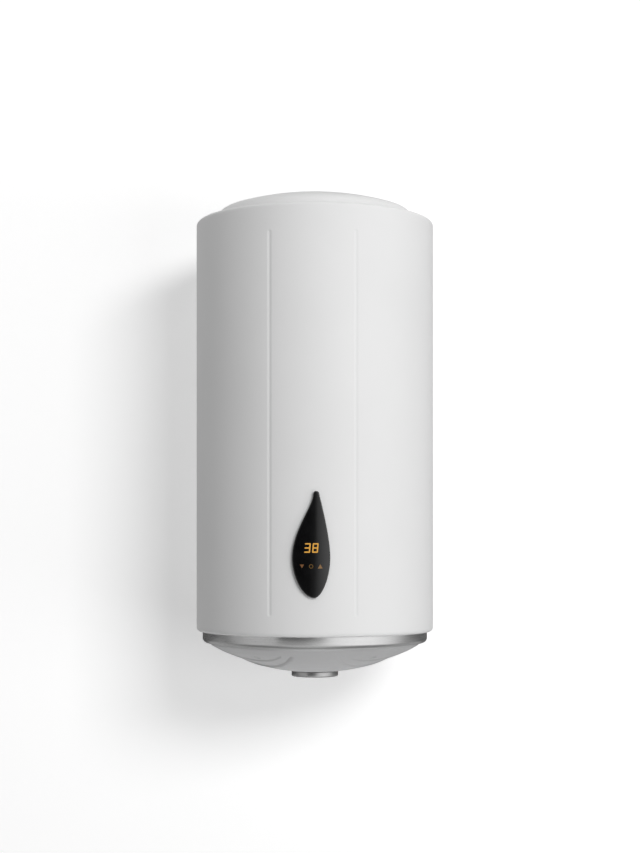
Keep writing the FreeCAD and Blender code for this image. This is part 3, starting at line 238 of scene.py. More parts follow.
class Nodes:
    """The node tree of a material or a world, built by short calls."""

    def __init__(self, owner, empty=True):
        owner.use_nodes = True
        self.tree = owner.node_tree
        if empty:
            self.tree.nodes.clear()

    def node(self, kind, **values):
        """A new node, with values on its own sockets."""
        made = self.tree.nodes.new("ShaderNode" + kind)
        set_sockets(made, values)
        return made

    def join(self, out, into):
        """Links an output to an input."""
        self.tree.links.new(out, into)

    def reckon(self, operation, first, second):
        """A Math node on two values, each an output or a number."""
        made = self.node("Math")
        made.operation = operation
        for value, socket in ((first, made.inputs[0]), (second, made.inputs[1])):
            if isinstance(value, float):
                socket.default_value = value
            else:
                self.join(value, socket)
        return made.outputs[0]

    def mix(self, share, first, second):
        """A mix of two shaders with the second one's share. None stands for no light at all."""
        made = self.node("MixShader")
        for out, socket in zip((share, first, second), made.inputs):
            if out:
                self.join(out, socket)
        return made.outputs[0]

    def ramp(self, pattern, stops):
        """The colours of a ramp along a pattern, from pairs of a position and a colour."""
        made = self.node("ValToRGB")
        elements = made.color_ramp.elements
        while len(elements) < len(stops):
            elements.new(0.5)
        for element, (where, shade) in zip(elements, stops):
            element.position = where
            element.color = (*[min(1.0, c) for c in shade], 1)
        self.join(pattern, made.inputs["Fac"])
        return made

    def seen(self, share):
        """One for what the camera sees, a share for what metal and glass show, nought for the rest."""
        path = self.node("LightPath").outputs
        mirrored = self.reckon("MAXIMUM", path["Is Glossy Ray"], path["Is Transmission Ray"])
        return self.reckon("MAXIMUM", path["Is Camera Ray"], self.reckon("MULTIPLY", mirrored, share))


class Surface(Nodes):
    """A Principled material with patterns that are read from Object coordinates."""

    def __init__(self, name, base, roughness, **constants):
        plain = bpy.data.materials.get(name)
        if plain:
            bpy.data.materials.remove(plain)
        self.material = bpy.data.materials.new(name)
        super().__init__(self.material, empty=False)
        self.shader = self.tree.nodes["Principled BSDF"]
        self.base = base
        set_sockets(self.shader, {"Base Color": (*base, 1), "Roughness": roughness, **constants})
        self.place = self.node("TexCoord").outputs["Object"]
        self.bend = None

    def mapped(self, scale, centre=(0, 0, 0)):
        """Object coordinates about a centre, stretched along each axis."""
        mapping = self.node("Mapping", Scale=scale, Location=[-c * s for c, s in zip(centre, scale)])
        self.join(self.place, mapping.inputs["Vector"])
        return mapping.outputs["Vector"]

    def noise(self, scale, detail=2.0, rough=0.5):
        """Noise with one scale, or one for each axis, per metre."""
        each = scale if isinstance(scale, tuple) else (scale, scale, scale)
        pattern = self.node("TexNoise", Scale=1.0, Detail=detail, Roughness=rough)
        self.join(self.mapped(each), pattern.inputs["Vector"])
        return pattern.outputs["Fac"]

    def cells(self, scale):
        """Round cells with one scale, per metre."""
        pattern = self.node("TexVoronoi", Scale=1.0)
        self.join(self.mapped((scale, scale, scale)), pattern.inputs["Vector"])
        return pattern.outputs["Distance"]

    def rings(self, pitch, centre):
        """Turned rings about a vertical axis, one for each pitch."""
        pattern = self.node("TexWave", Scale=1.0, Distortion=0.6)
        pattern.wave_type = "RINGS"
        pattern.rings_direction = "Z"
        turns = WAVE_PITCH / pitch
        self.join(self.mapped((turns, turns, turns), centre), pattern.inputs["Vector"])
        return pattern.outputs["Fac"]

    def spread(self, pattern, low, high, start=0.0, end=1.0):
        """Maps a stretch of a pattern onto another range."""
        mapper = self.node("MapRange", From_Min=start, From_Max=end, To_Min=low, To_Max=high)
        self.join(pattern, mapper.inputs["Value"])
        return mapper.outputs["Result"]

    def tint(self, pattern, darker, lighter, start=0.3, end=0.7, into="Base Color"):
        """Varies a colour between two shares of the base colour."""
        stops = [(where, [c * share for c in self.base])
                 for where, share in ((start, darker), (end, lighter))]
        self.join(self.ramp(pattern, stops).outputs["Color"], self.shader.inputs[into])
        return self

    def rough(self, pattern, low, high, start=0.3, end=0.7):
        """Varies the roughness between two values."""
        self.join(self.spread(pattern, low, high, start, end), self.shader.inputs["Roughness"])
        return self

    def bump(self, pattern, depth):
        """Adds relief of a real depth on top of any relief before it."""
        relief = self.node("Bump", Distance=depth)
        self.join(pattern, relief.inputs["Height"])
        if self.bend:
            self.join(self.bend, relief.inputs["Normal"])
        self.bend = relief.outputs["Normal"]
        self.join(self.bend, self.shader.inputs["Normal"])
        return self


def white_enamel(tones):
    """Sprayed and baked enamel: faint orange peel, soft gloss and a little dust."""
    paint = Surface("white_enamel", tones.enamel, 0.46, Specular_IOR_Level=0.28)
    paint.tint(paint.noise(6.0, 3.0), 0.985, 1.01)
    paint.rough(paint.noise(40.0, 4.0), 0.42, 0.52)
    paint.bump(paint.noise(420.0, 1.0), 0.00003)
    return paint.bump(paint.noise(9.0, 1.0), 0.00025).material


def white_plastic(tones):
    """Moulded white plastic with a fine grain."""
    plastic = Surface("white_plastic", tones.cap, 0.46, Specular_IOR_Level=0.28)
    plastic.tint(plastic.noise(9.0, 2.0), 0.985, 1.01)
    plastic.rough(plastic.noise(90.0, 3.0), 0.42, 0.52)
    return plastic.bump(plastic.noise(2600.0, 2.0), 0.000012).material


def brushed_band(tones):
    """Metal brushed along the band, so that the lines run level."""
    metal = Surface("brushed_band", tones.band, 0.28, Metallic=1.0, Anisotropic=0.7,
                    Anisotropic_Rotation=0.25)
    lines = metal.noise((7.0, 7.0, 5200.0), 3.0, 0.6)
    metal.tint(lines, 0.90, 1.06)
    metal.rough(metal.noise((12.0, 12.0, 2400.0), 2.0), 0.24, 0.34)
    return metal.bump(lines, 0.000006).material


def silver_plastic(tones):
    """Plastic painted satin silver, with fine flakes."""
    paint = Surface("silver_plastic", tones.cover, 0.40, Metallic=0.35, Specular_IOR_Level=0.5)
    paint.tint(paint.cells(5200.0), 0.95, 1.03, 0.1, 0.9)
    paint.rough(paint.noise(60.0, 3.0), 0.36, 0.45)
    return paint.bump(paint.noise(3800.0, 1.0), 0.000010).material


def knob_metal(tones):
    """A knob turned bright, with fine rings from the tool."""
    metal = Surface("knob_metal", tones.knob, 0.30, Metallic=1.0, Anisotropic=0.3)
    rings = metal.rings(0.0006, AXIS)
    metal.tint(metal.noise((5.0, 5.0, 3000.0), 3.0), 0.92, 1.05)
    metal.rough(metal.noise(70.0, 2.0), 0.26, 0.36)
    return metal.bump(rings, 0.000006).material


def black_panel(tones):
    """The lens: smooth black plastic, faintly hazed by touch."""
    plastic = Surface("black_panel", tones.lens, 0.20, Specular_IOR_Level=0.75)
    plastic.tint(plastic.noise(30.0, 2.0), 0.9, 1.1)
    plastic.rough(plastic.noise(55.0, 4.0), 0.17, 0.24)
    return plastic.bump(plastic.noise(3000.0, 1.0), 0.000004).material


def plain_plastic(name, base, roughness=0.45):
    """An unpainted moulding with a fine eroded grain."""
    plastic = Surface(name, base, roughness)
    plastic.tint(plastic.noise(25.0, 3.0), 0.93, 1.05)
    plastic.rough(plastic.noise(160.0, 3.0), roughness - 0.05, roughness + 0.08)
    return plastic.bump(plastic.noise(2400.0, 2.0), 0.00002).material


def plated_steel(name, base, roughness=0.34):
    """Zinc-plated steel with a soft spangle and fine scratches."""
    metal = Surface(name, base, roughness, Metallic=1.0)
    metal.tint(metal.cells(140.0), 0.84, 1.06, 0.1, 0.8)
    metal.rough(metal.noise((30.0, 900.0, 30.0), 3.0), roughness - 0.08, roughness + 0.12)
    return metal.bump(metal.noise(1400.0, 2.0), 0.000012).material


def powder_coat(name, base):
    """Powder coat on the brackets, with its pebbled face."""
    paint = Surface(name, base, 0.5, Specular_IOR_Level=0.4)
    paint.tint(paint.noise(20.0, 3.0), 0.95, 1.03)
    paint.rough(paint.noise(120.0, 2.0), 0.44, 0.58)
    return paint.bump(paint.noise(1100.0, 2.0), 0.00006).material


def foamed(name, base, cell, relief):
    """Foam with closed cells and a mottled colour."""
    foam = Surface(name, base, 0.85)
    foam.tint(foam.noise(45.0, 4.0), 0.82, 1.08)
    foam.rough(foam.noise(200.0, 2.0), 0.78, 0.92)
    return foam.bump(foam.cells(cell), relief).material


def glass_enamel(tones):
    """The tank's fired enamel, dark and glossy with small pits."""
    enamel = Surface("tank_enamel", tones.tank, 0.2, Coat_Weight=0.4)
    enamel.tint(enamel.noise(18.0, 4.0), 0.75, 1.25)
    enamel.rough(enamel.noise(60.0, 3.0), 0.16, 0.30)
    return enamel.bump(enamel.cells(700.0), 0.00003).material


def rubbery(name, base):
    """Moulded rubber, matt and a little blotched."""
    rubber = Surface(name, base, 0.7)
    rubber.tint(rubber.noise(80.0, 3.0), 0.85, 1.1)
    rubber.rough(rubber.noise(250.0, 2.0), 0.62, 0.78)
    return rubber.bump(rubber.noise(1500.0, 2.0), 0.00003).material


def drawn_metal(name, base, roughness):
    """Drawn tube or rod, with lines along its length."""
    metal = Surface(name, base, roughness, Metallic=1.0)
    metal.tint(metal.noise((300.0, 300.0, 8.0), 3.0), 0.85, 1.05)
    metal.rough(metal.noise((900.0, 900.0, 15.0), 2.0), roughness - 0.06, roughness + 0.10)
    return metal.bump(metal.noise((2200.0, 2200.0, 20.0), 2.0), 0.000015).material


def cast_metal(name, base):
    """A cast rod with a dull, pitted skin."""
    metal = Surface(name, base, 0.55, Metallic=0.9)
    metal.tint(metal.noise(110.0, 5.0), 0.75, 1.08)
    metal.rough(metal.noise(220.0, 3.0), 0.45, 0.68)
    return metal.bump(metal.cells(900.0), 0.00008).material


def circuit_board(tones):
    """A circuit board's green lacquer."""
    board = Surface("board_green", tones.board, 0.35, Coat_Weight=0.3)
    board.tint(board.noise(60.0, 2.0), 0.8, 1.2)
    board.rough(board.noise(300.0, 2.0), 0.3, 0.42)
    return board.bump(board.noise(900.0, 1.0), 0.00002).material


def lit(name, base, strength):
    """Light from behind a small window, a little uneven."""
    glow = Surface(name, UNLIT, 0.35, Specular_IOR_Level=0.1, Emission_Strength=strength)
    glow.base = base
    return glow.tint(glow.noise(420.0, 2.0), 0.86, 1.0, 0.25, 0.75, "Emission Color").material


def mark_glow(tones, sizes):
    """The glow of the three touch marks, one colour after another from left to right."""
    glow = Surface("dim_amber", UNLIT, 0.35, Specular_IOR_Level=0.1, Emission_Strength=1.0)
    split = glow.node("SeparateXYZ")
    glow.join(glow.place, split.inputs[0])
    reach = 1.5 * sizes.marks_pitch
    across = glow.spread(split.outputs["X"], 0.0, 1.0, sizes.marks_x - reach, sizes.marks_x + reach)
    ramp = glow.ramp(across, ((0.0, tones.mark_left), (0.33, tones.mark_middle),
                              (0.66, tones.mark_right)))
    ramp.color_ramp.interpolation = "CONSTANT"
    glow.join(ramp.outputs["Color"], glow.shader.inputs["Emission Color"])
    return glow.material


def make_materials(tones, sizes):
    """One finish for each slot of the record, under the slot's name, and the marks' glow."""
    white_enamel(tones)
    white_plastic(tones)
    brushed_band(tones)
    silver_plastic(tones)
    knob_metal(tones)
    black_panel(tones)
    plain_plastic("dark_plastic", tones.dark_plastic)
    foamed("black_foam", tones.dark_plastic, 900.0, 0.0002)
    foamed("yellow_foam", tones.foam, 500.0, 0.0004)
    glass_enamel(tones)
    plated_steel("zinc_steel", tones.zinc)
    rubbery("grey_rubber", tones.rubber)
    drawn_metal("copper_sheath", tones.copper, 0.32)
    cast_metal("magnesium", tones.magnesium)
    plain_plastic("black_phenolic", tones.phenolic, 0.38)
    plain_plastic("red_plastic", tones.red, 0.42)
    plain_plastic("blue_plastic", tones.blue, 0.42)
    plain_plastic("ivory_plastic", tones.ivory, 0.48)
    circuit_board(tones)
    plain_plastic("pan_plastic", tones.pan, 0.55)
    powder_coat("bracket_paint", tones.bracket)
    lit("light_amber", tones.amber, 1.0)
    mark_glow(tones, sizes)


def new_object(name, bm):
    """A linked object that takes over a bmesh."""
    mesh = bpy.data.meshes.new(name)
    bm.to_mesh(mesh)
    bm.free()
    made = bpy.data.objects.new(name, mesh)
    bpy.context.scene.collection.objects.link(made)
    return made


def new_piece(bm, name, body, finish, nodes=(), crease=30.0):
    """A named piece from a bmesh. It rides a body and stands for CAD nodes."""
    piece = new_object(name, bm)
    mesh = piece.data
    mesh.polygons.foreach_set("use_smooth", [True] * len(mesh.polygons))
    mesh.set_sharp_from_angle(angle=math.radians(crease))
    mesh.materials.append(bpy.data.materials[finish])
    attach(piece, body)
    if nodes:
        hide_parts(*nodes)
    return piece


def node_bmesh(node):
    """A copy of a CAD node's mesh with its loose triangles joined."""
    bm = bmesh.new()
    bm.from_mesh(frame["nodes"][node].data)
    bmesh.ops.remove_doubles(bm, verts=bm.verts, dist=MERGE)
    return bm


def verts_in(geom):
    """The points of a bmesh operator's result."""
    return [g for g in geom if isinstance(g, bmesh.types.BMVert)]


def round_off(bm, geom, offset, segments, affect="EDGES", clamp=False):
    """Rounds edges, or the corners of a flat shape."""
    bmesh.ops.bevel(bm, geom=geom, offset=offset, offset_type="OFFSET", segments=segments,
                    profile=0.5, affect=affect, material=-1, clamp_overlap=clamp)


def add_loop(bm, points, centre, turn=0.0):
    """A closed outline of radius and height pairs, in the upright plane through a centre."""
    spin = Matrix.Rotation(turn, 3, "Z")
    verts = [bm.verts.new(centre + spin @ (FRONT * r) + Vector((0, 0, z))) for r, z in points]
    return verts + [bm.edges.new(pair) for pair in zip(verts, verts[1:] + verts[:1])]


def arc_points(centre, radius, start, end, steps):
    """Points on an arc in the profile's plane, with angles in degrees from outwards."""
    turns = [math.radians(start + (end - start) * i / steps) for i in range(steps + 1)]
    return [(centre[0] + radius * math.cos(t), centre[1] + radius * math.sin(t)) for t in turns]


def arc_through(first, middle, last, steps):
    """Points on the arc through three points of a profile."""
    (x1, y1), (x2, y2), (x3, y3) = first, middle, last
    d = 2 * (x1 * (y2 - y3) + x2 * (y3 - y1) + x3 * (y1 - y2))
    s1, s2, s3 = (x * x + y * y for x, y in (first, middle, last))
    centre = ((s1 * (y2 - y3) + s2 * (y3 - y1) + s3 * (y1 - y2)) / d,
              (s1 * (x3 - x2) + s2 * (x1 - x3) + s3 * (x2 - x1)) / d)
    radius = math.dist(centre, first)
    start, end = (math.degrees(math.atan2(y - centre[1], x - centre[0])) for x, y in (first, last))
    return arc_points(centre, radius, start, end, steps)


def spun(points, centre, steps):
    """A full turn of a closed outline about an upright axis."""
    bm = bmesh.new()
    loop = add_loop(bm, points, centre)
    bmesh.ops.spin(bm, geom=loop, cent=centre, axis=(0, 0, 1), angle=2 * math.pi, steps=steps,
                   use_merge=True)
    bmesh.ops.remove_doubles(bm, verts=bm.verts, dist=MERGE)
    bmesh.ops.delete(bm, geom=[e for e in bm.edges if e.is_wire], context="EDGES")
    bmesh.ops.recalc_face_normals(bm, faces=bm.faces)
    return bm


def spun_in_sectors(points, centre, sectors):
    """A full turn made of sectors, each with its end angle in degrees and its steps."""
    bm = bmesh.new()
    geom = add_loop(bm, points, centre, math.radians(-180))
    start = -180.0
    for end, steps in sectors:
        made = bmesh.ops.spin(bm, geom=geom, cent=centre, axis=(0, 0, 1),
                              angle=math.radians(end - start), steps=steps)
        geom = made["geom_last"]
        start = end
    bmesh.ops.remove_doubles(bm, verts=bm.verts, dist=SHEET_MERGE)
    bmesh.ops.recalc_face_normals(bm, faces=bm.faces)
    return bm


def add_box(bm, low, high):
    """A box between two corners."""
    size = high - low
    middle = (low + high) / 2
    fit = Matrix.Translation(middle) @ Matrix.Diagonal((*size, 1))
    return bmesh.ops.create_cube(bm, size=1.0, matrix=fit)["verts"]


def combine(piece, tool_bm, operation):
    """Takes a closed bmesh away from a piece (DIFFERENCE), or adds it to the piece (UNION)."""
    tool = new_object("tool", tool_bm)
    cut = piece.modifiers.new("combine", "BOOLEAN")
    cut.operation = operation
    cut.solver = "EXACT"
    cut.object = tool
    graph = bpy.context.evaluated_depsgraph_get()
    result = bpy.data.meshes.new_from_object(piece.evaluated_get(graph))
    piece.modifiers.clear()
    if not result.polygons:
        raise RuntimeError("nothing is left of " + piece.name)
    piece.data = result
    bpy.data.objects.remove(tool)


def flat_angle(point):
    """The angle of a point about the tank's axis from the front, positive to the right."""
    return math.atan2(point.x - AXIS.x, AXIS.y - point.y)


def levels(low, high, step, zones):
    """Heights to a hundredth of a millimetre, with a coarse step and a fine one in each zone."""
    count = max(1, round((high - low) / step))
    heights = {round(low + (high - low) * i / count, 5) for i in range(count + 1)}
    for start, end, fine in zones:
        heights = {z for z in heights if not start < z < end}
        number = round((end - start) / fine)
        heights |= {round(start + (end - start) * i / number, 5) for i in range(number + 1)}
    return sorted(heights)


class HEATER_OT_materials(bpy.types.Operator):
    """Makes the finishes and gives each CAD node the one that its slot names"""
    bl_idname = "heater.materials"
    bl_label = "Finishes"

    def execute(self, context):
        make_materials(context.scene.heater_colours, context.scene.heater_panel)
        for part in frame["record"]["subparts"]:
            node = frame["nodes"][part["node"]]
            node.data.materials.clear()
            node.data.materials.append(bpy.data.materials[part["material_slot"]])
        return {"FINISHED"}


class HEATER_OT_jacket(bpy.types.Operator):
    """Makes the sheet jacket with its pressed grooves and its seam"""
    bl_idname = "heater.jacket"
    bl_label = "Jacket"

    # Height of a coarse row and of one at the grooves' ends, and the width of the seam's slope
    ROW, FINE_ROW, SLOPE = 0.022, 0.0005, 0.0003
    # Steps round each edge, and columns in the wide, the narrow and the grooves' sectors
    EDGE_STEPS, WIDE, NARROW, GROOVE = 8, 64, 16, 18
    # Play for points that stand on the seam's border
    SLACK = 0.00005

    def execute(self, context):
        sizes = context.scene.heater_shell
        bm = spun_in_sectors(self.outline(sizes), AXIS, self.sectors(sizes))
        self.press(bm, sizes)
        piece = new_piece(bm, "jacket_shell", "root", "white_enamel", ["outer_jacket"])
        combine(piece, self.openings(sizes), "DIFFERENCE")
        return {"FINISHED"}

    def outline(self, sizes):
        """The sheet's profile, closed: outer face from the top flange down, inner face back up."""
        sheet = sizes.sheet
        top, low = sizes.top_fillet, sizes.low_fillet
        groove_low = JACKET_LOW + sizes.groove_low
        groove_high = JACKET_LOW + sizes.groove_high
        reach = sizes.groove_half + sheet
        seam_low = JACKET_LOW + sizes.seam_end
        seam_high = JACKET_TOP - sizes.seam_end
        zones = [(groove_low, groove_low + reach, self.FINE_ROW),
                 (groove_high - reach, groove_high, self.FINE_ROW),
                 (seam_low - self.SLOPE, seam_low, self.SLOPE),
                 (seam_high, seam_high + self.SLOPE, self.SLOPE)]
        wall = levels(JACKET_LOW + low, JACKET_TOP - top, self.ROW, zones)
        high_bend = (JACKET_R - top, JACKET_TOP - top)
        low_bend = (JACKET_R - low, JACKET_LOW + low)
        steps = self.EDGE_STEPS
        return ([(sizes.top_flange_r, JACKET_TOP)] + arc_points(high_bend, top, 90, 0, steps)
                + [(JACKET_R, z) for z in reversed(wall[1:-1])]
                + arc_points(low_bend, low, 0, -90, steps)
                + [(sizes.low_flange_r, JACKET_LOW), (sizes.low_flange_r, JACKET_LOW + sheet)]
                + arc_points(low_bend, low - sheet, -90, 0, steps)
                + [(JACKET_R - sheet, z) for z in wall[1:-1]]
                + arc_points(high_bend, top - sheet, 0, 90, steps)
                + [(sizes.top_flange_r, JACKET_TOP - sheet)])

    def sectors(self, sizes):
        """Coarse columns, with fine ones across the grooves and at the seam's edges."""
        groove = math.degrees(sizes.groove_angle)
        turn = math.degrees(sizes.groove_turn)
        reach, seam, step = (math.degrees(width / JACKET_R) for width in
                             (sizes.groove_half, sizes.seam_half, self.SLOPE))
        return [(-180 + seam, 2), (-180 + seam + step, 1), (-groove - turn - reach, self.WIDE),
                (-groove - turn + reach, self.GROOVE), (groove - turn - reach, self.NARROW),
                (groove - turn + reach, self.GROOVE), (180 - seam - step, self.WIDE),
                (180 - seam, 1), (180, 2)]

    def press(self, bm, sizes):
        """Moves the sheet in along the grooves and out along the seam."""
        low = JACKET_LOW + sizes.groove_low + sizes.groove_half
        high = JACKET_LOW + sizes.groove_high - sizes.groove_half
        seam_low = JACKET_LOW + sizes.seam_end - self.SLACK
        seam_high = JACKET_TOP - sizes.seam_end + self.SLACK
        for vert in bm.verts:
            out = (vert.co - AXIS) * Vector((1, 1, 0))
            if out.length < JACKET_R - 2 * sizes.sheet:
                continue
            turn = flat_angle(vert.co)
            across = JACKET_R * (abs(turn + sizes.groove_turn) - sizes.groove_angle)
            along = max(0.0, low - vert.co.z, vert.co.z - high)
            away = math.hypot(across, along) / sizes.groove_half
            if away < 1:
                dip = sizes.groove_depth * (1 + math.cos(math.pi * away)) / 2
                vert.co -= out.normalized() * dip
            on_seam = JACKET_R * (math.pi - abs(turn)) < sizes.seam_half + self.SLACK
            outside = out.length > JACKET_R - sizes.sheet / 2
            if on_seam and outside and seam_low <= vert.co.z <= seam_high:
                vert.co += out.normalized() * sizes.seam_step

    def openings(self, sizes):
        """The slots that the four bracket legs pass through, and the tray's window."""
        bm = bmesh.new()
        legs_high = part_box("bracket_legs")[1]
        middles = [sum(corner.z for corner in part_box(strap)) / 2
                   for strap in ("lower_strap", "upper_strap")]
        gap = sizes.sheet
        half = legs_high.z - middles[1] + gap
        for middle in middles:
            for side in (-1, 1):
                near, far = sorted((side * (legs_high.x + gap),
                                    side * (legs_high.x - sizes.leg_sheet - gap)))
                add_box(bm, Vector((near, AXIS.y, middle - half)),
                        Vector((far, AXIS.y + JACKET_R + gap, middle + half)))
        self.add_window(bm, sizes)
        return bm

    def add_window(self, bm, sizes):
        """The round-cornered window that the display's tray passes through."""
        low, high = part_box("display_board")
        rim = sizes.tray_wall + sizes.window_gap
        verts = add_box(bm, Vector((low.x - rim, AXIS.y - JACKET_R - rim, low.z - rim)),
                        Vector((high.x + rim, high.y, high.z + rim)))
        edges = {e for v in verts for e in v.link_edges}
        # The four edges that run from front to back
        corners = [e for e in edges if abs((e.verts[0].co - e.verts[1].co).normalized().y) > 0.9]
        round_off(bm, corners, sizes.window_corner, segments=6)


class HEATER_OT_cap(bpy.types.Operator):
    """Makes the moulded cap: a dome of two arcs, a rim and a skirt"""
    bl_idname = "heater.cap"
    bl_label = "Top cap"

    def execute(self, context):
        sizes = context.scene.heater_shell
        wall = sizes.cap_wall
        skirt = sizes.top_flange_r - sizes.cap_gap
        soft = wall / 4
        rim = arc_points((CAP_RIM_R - soft, JACKET_TOP + wall - soft), soft, 0, 90, 4)
        outline = ([(skirt, JACKET_TOP), (CAP_RIM_R, JACKET_TOP)] + rim + self.dome(sizes, 0.0)
                   + list(reversed(self.dome(sizes, wall)))
                   + [(skirt - wall, JACKET_TOP + wall), (skirt - wall, CAP_SKIRT_LOW),
                      (skirt, CAP_SKIRT_LOW)])
        bm = spun(outline, AXIS, steps=128)
        new_piece(bm, "cap_moulding", "root", "white_plastic", ["top_cap"])
        return {"FINISHED"}

    def dome(self, sizes, inset):
        """The dome's profile from its foot to its middle, at an inset from the outer face."""
        rise = CAP_TOP - JACKET_TOP
        middle = sizes.cap_r - sizes.cap_knuckle
        bend = sizes.cap_knuckle - inset
        crown = (middle ** 2 + rise ** 2 - sizes.cap_knuckle ** 2) / (2 * (rise - sizes.cap_knuckle))
        foot = math.degrees(math.asin(sizes.cap_wall / bend))
        meet = math.degrees(math.atan2(crown - rise, middle))
        knuckle = arc_points((middle, JACKET_TOP), bend, foot, meet, 10)
        dome = arc_points((0, JACKET_TOP + rise - crown), crown - inset, meet, 90, 26)
        return knuckle + dome[1:-1] + [(0.0, CAP_TOP - inset)]


class HEATER_OT_ring(bpy.types.Operator):
    """Makes the brushed band that curls in round the bottom cover"""
    bl_idname = "heater.ring"
    bl_label = "Trim ring"

    def execute(self, context):
        sizes = context.scene.heater_base
        wall = sizes.ring_wall
        band_low = JACKET_LOW - sizes.ring_drop
        lip_r = RING_R - sizes.ring_lip
        knee = (RING_R - sizes.ring_knee, JACKET_LOW - sizes.ring_knee_drop)
        outer = arc_through((RING_R, band_low), knee, (lip_r, RING_LOW), 12)
        inner = arc_through((lip_r, RING_LOW + wall), (knee[0] - wall, knee[1] + wall / 2),
                            (RING_R - wall, band_low), 12)
        flange_r = context.scene.heater_shell.low_flange_r
        outline = ([(flange_r, JACKET_LOW), (RING_R, JACKET_LOW)] + outer + inner
                   + [(RING_R - wall, JACKET_LOW - wall), (flange_r, JACKET_LOW - wall)])
        bm = spun(outline, AXIS, steps=256)
        new_piece(bm, "ring_band", "root", "brushed_band", ["trim_ring"])
        return {"FINISHED"}


class HEATER_OT_cover(bpy.types.Operator):
    """Makes the bottom cover from the CAD form, with smooth faces"""
    bl_idname = "heater.cover"
    bl_label = "Bottom cover"

    def execute(self, context):
        bm = node_bmesh("bottom_cover")
        new_piece(bm, "cover_moulding", "root", "silver_plastic", ["bottom_cover"], crease=22.0)
        return {"FINISHED"}


class HEATER_OT_knob(bpy.types.Operator):
    """Makes the turned knob with its hollow back and its hub"""
    bl_idname = "heater.knob"
    bl_label = "Thermostat knob"

    def execute(self, context):
        sizes = context.scene.heater_base
        edge, wall, lip = sizes.knob_edge, sizes.knob_wall, sizes.knob_lip
        top = KNOB_LOW + sizes.knob_drop
        inner_edge = edge - wall / 2
        floor = KNOB_LOW + wall
        inner_r = KNOB_R - wall
        outline = ([(0.0, KNOB_LOW)]
                   + arc_points((KNOB_R - edge, KNOB_LOW + edge), edge, -90, 0, 8)
                   + arc_points((KNOB_R - lip, top - lip), lip, 0, 90, 3)
                   + [(inner_r, top)]
                   + arc_points((inner_r - inner_edge, floor + inner_edge), inner_edge, 0, -90, 6)
                   + [(sizes.knob_hub_r, floor), (sizes.knob_hub_r, KNOB_HUB_TOP),
                      (0.0, KNOB_HUB_TOP)])
        bm = spun(outline, AXIS, steps=192)
        piece = new_piece(bm, "knob_turned", "knob", "knob_metal", ["thermostat_knob"])
        combine(piece, self.ribs(sizes), "UNION")
        return {"FINISHED"}

    def ribs(self, sizes):
        """Ribs from the hub to the rim, on the knob's hidden face."""
        bm = bmesh.new()
        wall = sizes.knob_wall
        low = Vector((sizes.knob_hub_r - wall / 2, -wall / 2, KNOB_LOW + wall / 2))
        high = Vector((KNOB_R - wall / 2, wall / 2, KNOB_LOW + (wall + sizes.knob_drop) / 2))
        for i in range(sizes.knob_ribs):
            verts = add_box(bm, low, high)
            turn = Matrix.Rotation(2 * math.pi * i / sizes.knob_ribs, 4, "Z")
            bmesh.ops.transform(bm, matrix=Matrix.Translation(AXIS) @ turn, verts=verts)
        return bm


def lens_outline(sizes, steps):
    """The lens's outline on the front plane, anticlockwise from the tip's left side."""
    foot_z = JACKET_LOW
    tip = Vector((sizes.tip_x, sizes.tip_z + foot_z))
    lean = sizes.tip_lean
    radius = sizes.tip_r
    left = Vector((-sizes.left, sizes.belly_z + foot_z))
    right = Vector((sizes.right, sizes.belly_z + foot_z))
    foot = Vector((sizes.foot_x, sizes.foot_z + foot_z))
    left_tip = tip - Vector((radius, 0))
    right_tip = tip + Vector((math.cos(lean), math.sin(lean))) * radius
    down = Vector((0, -1))
    flanks = [
        (left_tip, left_tip + down * sizes.left_neck, left - down * sizes.left_shoulder, left),
        (left, left + down * sizes.hip, foot - Vector((sizes.left / 2, 0)), foot),
        (foot, foot + Vector((sizes.right / 2, 0)), right + down * sizes.hip, right),
        (right, right - down * sizes.right_shoulder,
         right_tip + Vector((math.sin(lean), -math.cos(lean))) * sizes.right_neck, right_tip)]
    points = []
    for flank in flanks:
        points += [bezier(*flank, i / steps) for i in range(steps)]
    turns = [lean + (math.pi - lean) * i / steps for i in range(steps)]
    points += [tip + Vector((math.cos(t), math.sin(t))) * radius for t in turns]
    return points


def bezier(a, b, c, d, t):
    """A point on a Bezier curve."""
    s = 1 - t
    return a * s ** 3 + b * (3 * s * s * t) + c * (3 * s * t * t) + d * t ** 3


def cut_in_strips(bm, width):
    """Cuts flat geometry along upright lines, so that it bends smoothly round the tank."""
    reach = max(abs(v.co.x) for v in bm.verts)
    count = int(reach / width) + 1
    for i in range(-count, count + 1):
        bmesh.ops.bisect_plane(bm, geom=bm.verts[:] + bm.edges[:] + bm.faces[:], dist=ON_PLANE,
                               plane_co=(i * width, 0, 0), plane_no=(1, 0, 0))


def onto_cylinder(bm):
    """Bends flat geometry round the tank: y holds the distance from the axis, turned negative."""
    for vert in bm.verts:
        away = -vert.co.y
        vert.co.y = AXIS.y - math.sqrt(away * away - vert.co.x ** 2)


